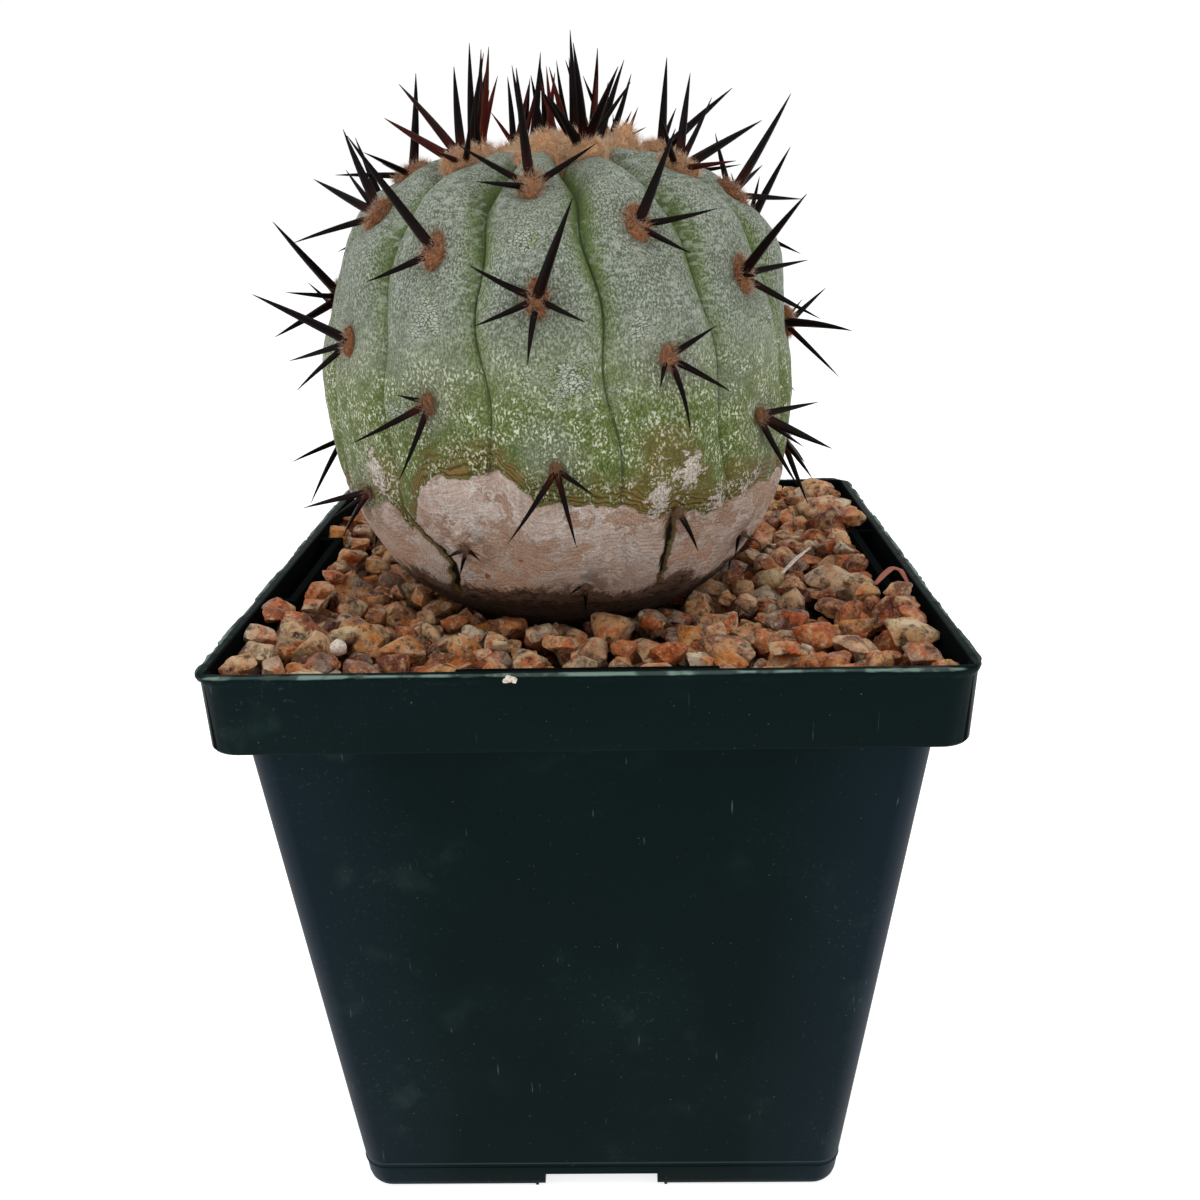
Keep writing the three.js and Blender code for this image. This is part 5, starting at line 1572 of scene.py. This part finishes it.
STRAW = [(31.8, -9.6, 100.2), (35.2, -2.5, 100.6), (38.7, 4.6, 100.4)]
CURL = [
    (46.2, -16.1, 100.3), (48.4, -12.3, 100.7), (50.3, -9.6, 101.0), (51.6, -10.6, 100.8),
    (51.8, -16, 99.9),
]
SHAPES = [(dry_blade(STRAW, 0.9), 0.0), (dry_blade(CURL, 1.3), 1.0)]  # (points and faces, tone)
CRUMBS = [  # (x, y, z, radius)
    (-10.4, -54.1, 100.5, 0.55), (-9.7, -54.15, 100.4, 0.45), (-10.9, -54.1, 100.25, 0.35),
    (-37.2, -37.4, 98.7, 1.3),
]
for x, y, z, size in CRUMBS:
    ball = bmesh.new()
    bmesh.ops.create_icosphere(ball, subdivisions=2, radius=size)
    places = np.array([vertex.co for vertex in ball.verts])
    faces = [[vertex.index for vertex in face.verts] for face in ball.faces]
    ball.free()
    places *= (1 + 0.35 * rough(places, 0.5 * size, x))[:, None]
    SHAPES.append(((places + [x, y, z], faces), 0.0))
litter_points, litter_faces, litter_tone = [], [], []
for (places, faces), tone_of_one in SHAPES:
    litter_faces += [[index + len(litter_points) for index in face] for face in faces]
    litter_points += list(places)
    litter_tone += [tone_of_one] * len(places)
litter = make_mesh("litter", litter_points, litter_faces, dry_litter, tone=litter_tone)
print("litter:", len(litter_faces), "faces")

# %% [markdown]
# ## Potting mix, floor and light
#
# The mix under the stones is dark and coarse, and only glimpsed in the gaps. The pot stands on a
# plain pale floor. The light is that of a photographer's tent: broad and soft from all around, a
# little stronger from above, so nothing casts a hard shadow.

# %% Material of the potting mix
potting_soil, tree, shader, place = start_material(
    "coarse_potting_mix", Roughness=0.98, IOR=1.35,
)
kept = sources_of(tree, (), place, {"fibre": (1.4, 6), "grit": (0.6, 3), "bark": (4.0, 4)})
share = shares_of(tree, kept, {
    "fibre": ("fibre", 0.45, 0.65), "grit": ("grit", 0.58, 0.66), "bark": ("bark", 0.50, 0.60),
})
colour = paint(tree, "#2A1D15", share, [
    ("#43301F", 1, "bark"), ("#1C130D", 1, "fibre"), ("#8C7B66", 1, "grit"),
])
bump = {"Strength": 1.0, "Distance": 0.6 * MM, "Height": share["fibre"]}
bump = add(tree, "ShaderNodeBump", bump)
connect(tree, shader, {"Base Color": colour, "Normal": bump})
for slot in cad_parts["potting_mix"].material_slots:
    slot.material = potting_soil

# %% Floor and light
FLOOR_HALF = 3000
floor_paint, tree, shader, place = start_material("white_backdrop_paper", Roughness=1.0)
connect(tree, shader, {
    "Base Color": "#D8D8D8", "Emission Color": "#FFFFFF", "Emission Strength": 0.78,
})
corners = [(FLOOR_HALF * x, FLOOR_HALF * y, 0) for x, y in ((-1, -1), (1, -1), (1, 1), (-1, 1))]
floor = make_mesh("floor", corners, [(0, 1, 2, 3)], floor_paint, smooth=False)

world = bpy.data.worlds.new("soft_tent")
world.use_nodes = True
tree = world.node_tree
skyward = add(tree, "ShaderNodeTexCoord").outputs["Generated"]
skyward = add(tree, "ShaderNodeSeparateXYZ", {0: skyward}).outputs["Z"]
band = {"Value": skyward, "From Min": 0.15, "From Max": 0.5, "To Min": 1.02, "To Max": 0.45}
fading = add(tree, "ShaderNodeMapRange", band, interpolation_type="SMOOTHSTEP")
connect(tree, tree.nodes["Background"], {"Color": "#FFFFFF", "Strength": fading})
bpy.context.scene.world = world
bpy.context.scene.view_settings.view_transform = "Standard"

LIGHTS = {
    # name: (place in mm, size in mm, watts)
    "tent_top": ((-60, -80, 720), 700, 2.0),
    "tent_left": ((-560, -260, 430), 420, 0.5),
    "tent_right": ((540, -200, 400), 420, 0.5),
}
for name, (spot, size, power) in LIGHTS.items():
    lamp = bpy.data.objects.new(name, bpy.data.lights.new(name, "AREA"))
    bpy.context.scene.collection.objects.link(lamp)
    lamp.data.size, lamp.data.energy = size * MM, power
    lamp.location = Vector(spot) * MM
    aim = Vector((0, 0, 0.1)) - lamp.location
    lamp.rotation_euler = aim.to_track_quat("-Z", "Y").to_euler()
print(len(LIGHTS), "lights")

# %% [markdown]
# ## Hand the pieces to the frame
#
# Each piece rides on the one body of this part and stands for the CAD node whose form it
# refines; that node is hidden.

# %% Ride and replace
PIECES = [
    (pot_shell, "pot", "pot_plastic"),
    (cactus_skin, "cactus", "cactus_skin"),
    (stem_spines, "cactus", "cactus_skin"),
    (felt_pads[0], "cactus", "crown_wool"),
    (felt_pads[1], "cactus", "crown_wool"),
    (crown_wool, "crown_wool", "crown_wool"),
    (young_spines, "crown_wool", "cactus_skin"),
    (stone_beds[0], "gravel", "gravel"),
    (stone_beds[1], "gravel", "gravel"),
    (litter, "gravel", "gravel"),
]
for piece, node, slot in PIECES:
    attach(piece, "root")
    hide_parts(node)
